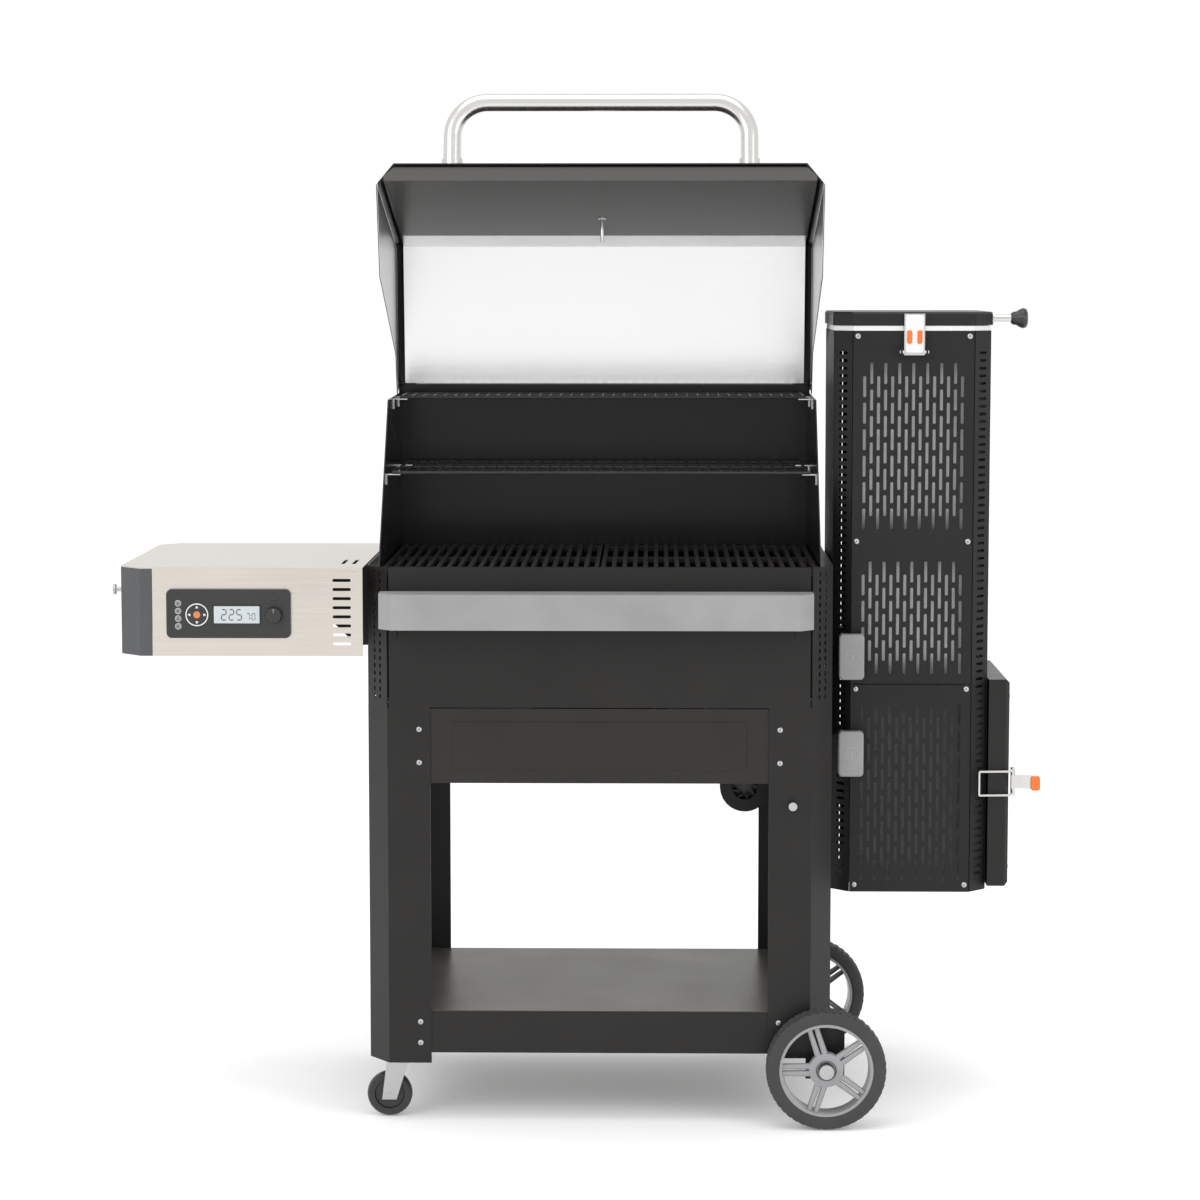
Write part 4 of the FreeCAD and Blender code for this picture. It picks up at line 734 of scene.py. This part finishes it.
cover_low, cover_high, _ = span("hopper_cover_front")
lower_low, lower_high, _ = span("firebox_cover")
FRONT_FACE = lower_low[1]
heads = []
for x in (cover_low[0] + 0.0075, cover_high[0] - 0.0075):
    for z in (cover_high[2] - 0.009, 0.955, lower_high[2] - 0.007, lower_low[2] + 0.012):
        heads.append(screw(np.array([x, FRONT_FACE, z]), "Y"))
LEG_SCREWS = (0.133, 0.168, 0.600, 0.655)
leg_face = span("front_legs")[0][1]
for x in (MIDDLE_X - 0.295, MIDDLE_X + 0.295):
    for z in LEG_SCREWS:
        heads.append(screw(np.array([x, leg_face, z]), "Y"))
door_low, door_high, _ = span("ash_door")
door_heads = [screw(np.array([door_high[0], door_low[1] + 0.02, z]), "X")
              for z in (door_low[2] + 0.03, door_high[2] - 0.03)]
piece("cover_screw_heads", heads + door_heads, ZINC, "cart", 40, ("cover_screws",))
print(len(heads) + len(door_heads), "screws")

# %% Lid rod and knob, gasket
low, high, centre = span("lid_knob")
rod_r = 0.006
rod_foot = np.array([low[0], centre[1], centre[2]])
length = high[0] - low[0]
rod_line = [(0.0, 0.0), (0.0, rod_r + 0.004), (0.003, rod_r + 0.004), (0.004, rod_r),
            (length - 0.026, rod_r),
            (length - 0.026, 0.0)]
grip_line = [(length - 0.028, 0.0), (length - 0.028, 0.008), (length - 0.025, 0.0105),
             (length - 0.019, 0.0115), (length - 0.013, 0.0152), (length - 0.008, 0.017),
             (length - 0.003, 0.0155), (length - 0.0006, 0.011), (length, 0.0)]
piece("lid_rod", [turned(rod_line, rod_foot, "X", 32)], CHROME, "hopper_lid", 35, ("lid_knob",))
piece("lid_grip", [turned(grip_line, rod_foot, "X", 56)], PLASTIC, "hopper_lid", 35)


def frame_band(outline_low, outline_high, cut, z_low, z_high, thick):
    """A band of rubber round a rectangle with cut corners, as a closed loop of its section."""
    (x0, y0), (x1, y1) = outline_low, outline_high
    plan = np.array([(x0 + cut, y0), (x1 - cut, y0), (x1, y0 + cut), (x1, y1 - cut), (x1 - cut, y1),
                     (x0 + cut, y1),
                     (x0, y1 - cut), (x0, y0 + cut)])
    middle = plan.mean(0)
    inward = plan + (middle - plan) / np.abs(middle - plan).max(1, keepdims=True) * thick
    rows = [(plan, z_low), (plan, z_high), (inward, z_high), (inward, z_low)]
    grid = np.array([np.column_stack([flat, np.full(len(flat), z)]) for flat, z in rows])
    return quads(grid, wrap_rows=True, wrap_columns=True)


guard_low, guard_high, _ = span("hopper_cover_sides")
gasket = frame_band((guard_low[0] + 0.003, guard_low[1] + 0.003),
                    (guard_high[0] - 0.003, guard_high[1] - 0.003), 0.029,
                    guard_high[2] + 0.0005, guard_high[2] + 0.0078, 0.012)
piece("lid_gasket", [gasket], GASKET, "cart")

# %% Latches
low, high, centre = span("hopper_latch")
lever_z = (low[2] + 0.004, high[2] - 0.002)
plate = slab(0.030, lever_z[1] - lever_z[0], 0.004, 0.0022,
             np.array([centre[0], low[1] + 0.0012, sum(lever_z) / 2]))
piece("hopper_latch_cover", [plate], INK, "hopper_latch")
pads = [slab(0.008, 0.022, 0.003, 0.003,
             np.array([centre[0] + side * 0.0085, low[1] - 0.0006, lever_z[0] + 0.026]))
        for side in (-1, 1)]
piece("hopper_latch_pads", pads, ORANGE, "hopper_latch")

low, high, centre = span("door_latch")
tip = moulded(0.016, 0.024, 0.005, [(0, 0.001), (0.001, 0), (0.007, 0), (0.008, 0.001)],
              np.array([high[0] - 0.009, low[1] + 0.0035, centre[2]]), RIGHT, UP, (0, 1, 0))
piece("door_latch_tip", [tip], ORANGE, "door_latch")
print("latches have their grips")

# %% Gate handles
for gate in ("upper_gate", "lower_gate"):
    low, high, centre = span(gate)
    wide, tall = 0.041, 0.076
    face = np.array([high[0] - wide / 2, low[1] + 0.004, centre[2]])
    cushion = moulded(wide, tall, 0.008, [(-0.006, 0.0), (0.0, 0.0), (0.0028, 0.0008), (0.0038, 0.003)],
                      face,
                      RIGHT, UP, FRONT)
    dish = turned([(-0.0042, 0.0125), (-0.0046, 0.0118), (-0.0042, 0.0111), (-0.0036, 0.0108)], face, "Y",
                  48)
    bar = slab(0.0022, 0.011, 0.0008, 0.0008, face + np.array([0, -0.0038, 0.0]))
    piece(gate + "_cushion", [cushion], HANDLE_GREY, gate, 30)
    piece(gate + "_mark", [dish, bar], KEY_GREY, gate, 30)
print("gate handles are cushioned")

# %% Bezels of the handle
OUT = np.array([0.0, 0.2418, 0.9703])     # away from the open hood's front skin
OUT /= np.linalg.norm(OUT)
HINGE_Y, HINGE_Z = -0.2525 + 0.492, 1.204
HANDLE_FEET, HANDLE_BACK, HANDLE_UP = 0.245, 0.3580 - 0.0006, 0.3563
GAUGE_BACK, GAUGE_UP = 0.2040, 0.3179     # the gauge's place, measured from the hinge


def turned_along(profile, foot, way, steps=40):
    """A lathe about any direction: rings across the way at each (along, radius)."""
    way = np.asarray(way, float) / np.linalg.norm(way)
    u = np.cross(way, RIGHT)
    u = u / np.linalg.norm(u) if np.linalg.norm(u) > 0.1 else np.array([0.0, 1.0, 0.0])
    v = np.cross(way, u)
    t = np.linspace(0, 2 * np.pi, steps, endpoint=False)[None, :, None]
    along, radius = (np.array(column)[:, None, None] for column in zip(*profile))
    return quads(np.asarray(foot) + along * way + radius * (np.cos(t) * u + np.sin(t) * v),
                 wrap_columns=True)


bezels = []
for side in (-1, 1):
    foot = np.array([MIDDLE_X + side * HANDLE_FEET, HINGE_Y - HANDLE_BACK, HINGE_Z + HANDLE_UP])
    bezels.append(turned_along([(0.0055, 0.0146), (0.0055, 0.0222), (0.009, 0.0222), (0.0105, 0.0205),
                                (0.0110, 0.0178), (0.0240, 0.0172), (0.0255, 0.0160),
                                (0.0255, 0.0146)], foot, OUT, 48))
piece("handle_bezels", bezels, CHROME, "hood", 35)
print("handle bezels stand at", np.round(foot, 3))

# %% Thermometer
gauge = np.array([MIDDLE_X, HINGE_Y - GAUGE_BACK, HINGE_Z + GAUGE_UP])
stem = [(-0.0745, 0.0), (-0.0740, 0.0024), (-0.0725, 0.0031), (-0.034, 0.0031), (-0.034, 0.0072),
        (-0.0285, 0.0072),
        (-0.0285, 0.0031), (-0.001, 0.0031), (-0.001, 0.0)]
case = [(0.0, 0.0), (0.0, 0.0335), (0.012, 0.0338), (0.0148, 0.0335), (0.0158, 0.0322), (0.0158, 0.0305),
        (0.0128, 0.0296), (0.0128, 0.0)]
piece("thermometer_stem", [turned_along(stem, gauge, OUT, 28)], CHROME, "hood", 35, ("thermometer",))
piece("thermometer_case", [turned_along(case, gauge, OUT, 72)], CHROME, "hood", 35)
face = [(0.0129, 0.0), (0.0129, 0.0290), (0.0133, 0.0290), (0.0133, 0.0)]
piece("thermometer_face", [turned_along(face, gauge, OUT, 72)], INK, "hood", 35)
DIAL_UP = np.cross(OUT, RIGHT)
marks = []
for tick in range(21):
    angle = math.radians(225 - 270 * tick / 20)
    way = math.cos(angle) * np.array(RIGHT, float) - math.sin(angle) * DIAL_UP
    side = np.cross(way, OUT)
    size = 0.0046 if tick % 5 == 0 else 0.0026
    marks.append(slab(0.0007, size, 0.0002, 0.0003, gauge + OUT * 0.0133 + way * (0.0272 - size / 2), side,
                      way, OUT))
needle_way = np.array([math.cos(math.radians(215)), 0, 0]) - math.sin(math.radians(215)) * DIAL_UP
needle_way /= np.linalg.norm(needle_way)
marks.append(slab(0.0011, 0.026, 0.0004, 0.0005, gauge + OUT * 0.0137 + needle_way * 0.008,
                  np.cross(needle_way, OUT),
                  needle_way, OUT))
marks.append(turned_along([(0.0133, 0.0026), (0.0150, 0.0024), (0.0152, 0.0)], gauge, OUT, 24))
piece("thermometer_marks", marks, PLASTIC, "hood", 35)
print("thermometer with", len(marks), "marks")

# %% [markdown]
# ## Light, floor and camera
#
# A bright even studio suits black metal only if something bright is there to be reflected, so
# large soft panels stand at both sides and above, over a pale floor.

# %% Studio
def area_light(name, place, target, size, power):
    lamp = bpy.data.lights.new(name, "AREA")
    lamp.shape, lamp.size, lamp.size_y, lamp.energy = "RECTANGLE", size[0], size[1], power
    made = bpy.data.objects.new(name, lamp)
    made.location = place
    made.rotation_euler = (Vector(target) - Vector(place)).to_track_quat("-Z", "Y").to_euler()
    bpy.context.scene.collection.objects.link(made)
    return made


world = bpy.data.worlds.new("studio")
world.use_nodes = True
world.node_tree.nodes["Background"].inputs["Color"].default_value = (1, 1, 1, 1)
world.node_tree.nodes["Background"].inputs["Strength"].default_value = 1.02
bpy.context.scene.world = world
bpy.context.scene.view_settings.view_transform = "Standard"
area_light("key_left", (-3.2, -3.4, 3.2), (0, 0, 0.8), (2.4, 2.4), 55)
area_light("fill_right", (3.4, -3.0, 2.0), (0.2, 0, 0.8), (1.6, 2.8), 30)
area_light("top_panel", (0, -0.6, 4.2), (0, 0, 0.6), (3.0, 2.4), 40)

bpy.ops.mesh.primitive_plane_add(size=60, location=(0, 0, -0.0005))
floor = bpy.context.object
floor.name = "studio_floor"
floor_finish = Finish("studio_floor", Roughness=0.85, Emission_Color=rgb(1, 1, 1), Emission_Strength=0.16)
floor_finish.set("Base Color", rgb(0.9, 0.9, 0.9))
floor.data.materials.append(floor_finish.material)

# %% Camera
# The eye stands a little right of the cart's middle at about head height, and looks slightly
# down and to the left.
CART_X, FRONT_Y = (span("bottom_shelf")[2])[0], span("chamber_front")[0][1]
EYE = (CART_X + 0.090, FRONT_Y - 5.18, 1.386)
TURN_LEFT, LOOK_DOWN = math.radians(0.985), math.radians(5.71)
camera_data = bpy.data.cameras.new("camera")
camera_data.lens = 96.0
camera = bpy.data.objects.new("camera", camera_data)
camera.location = EYE
camera.rotation_euler = (math.radians(90) - LOOK_DOWN, 0, TURN_LEFT)
bpy.context.scene.collection.objects.link(camera)
bpy.context.scene.camera = camera
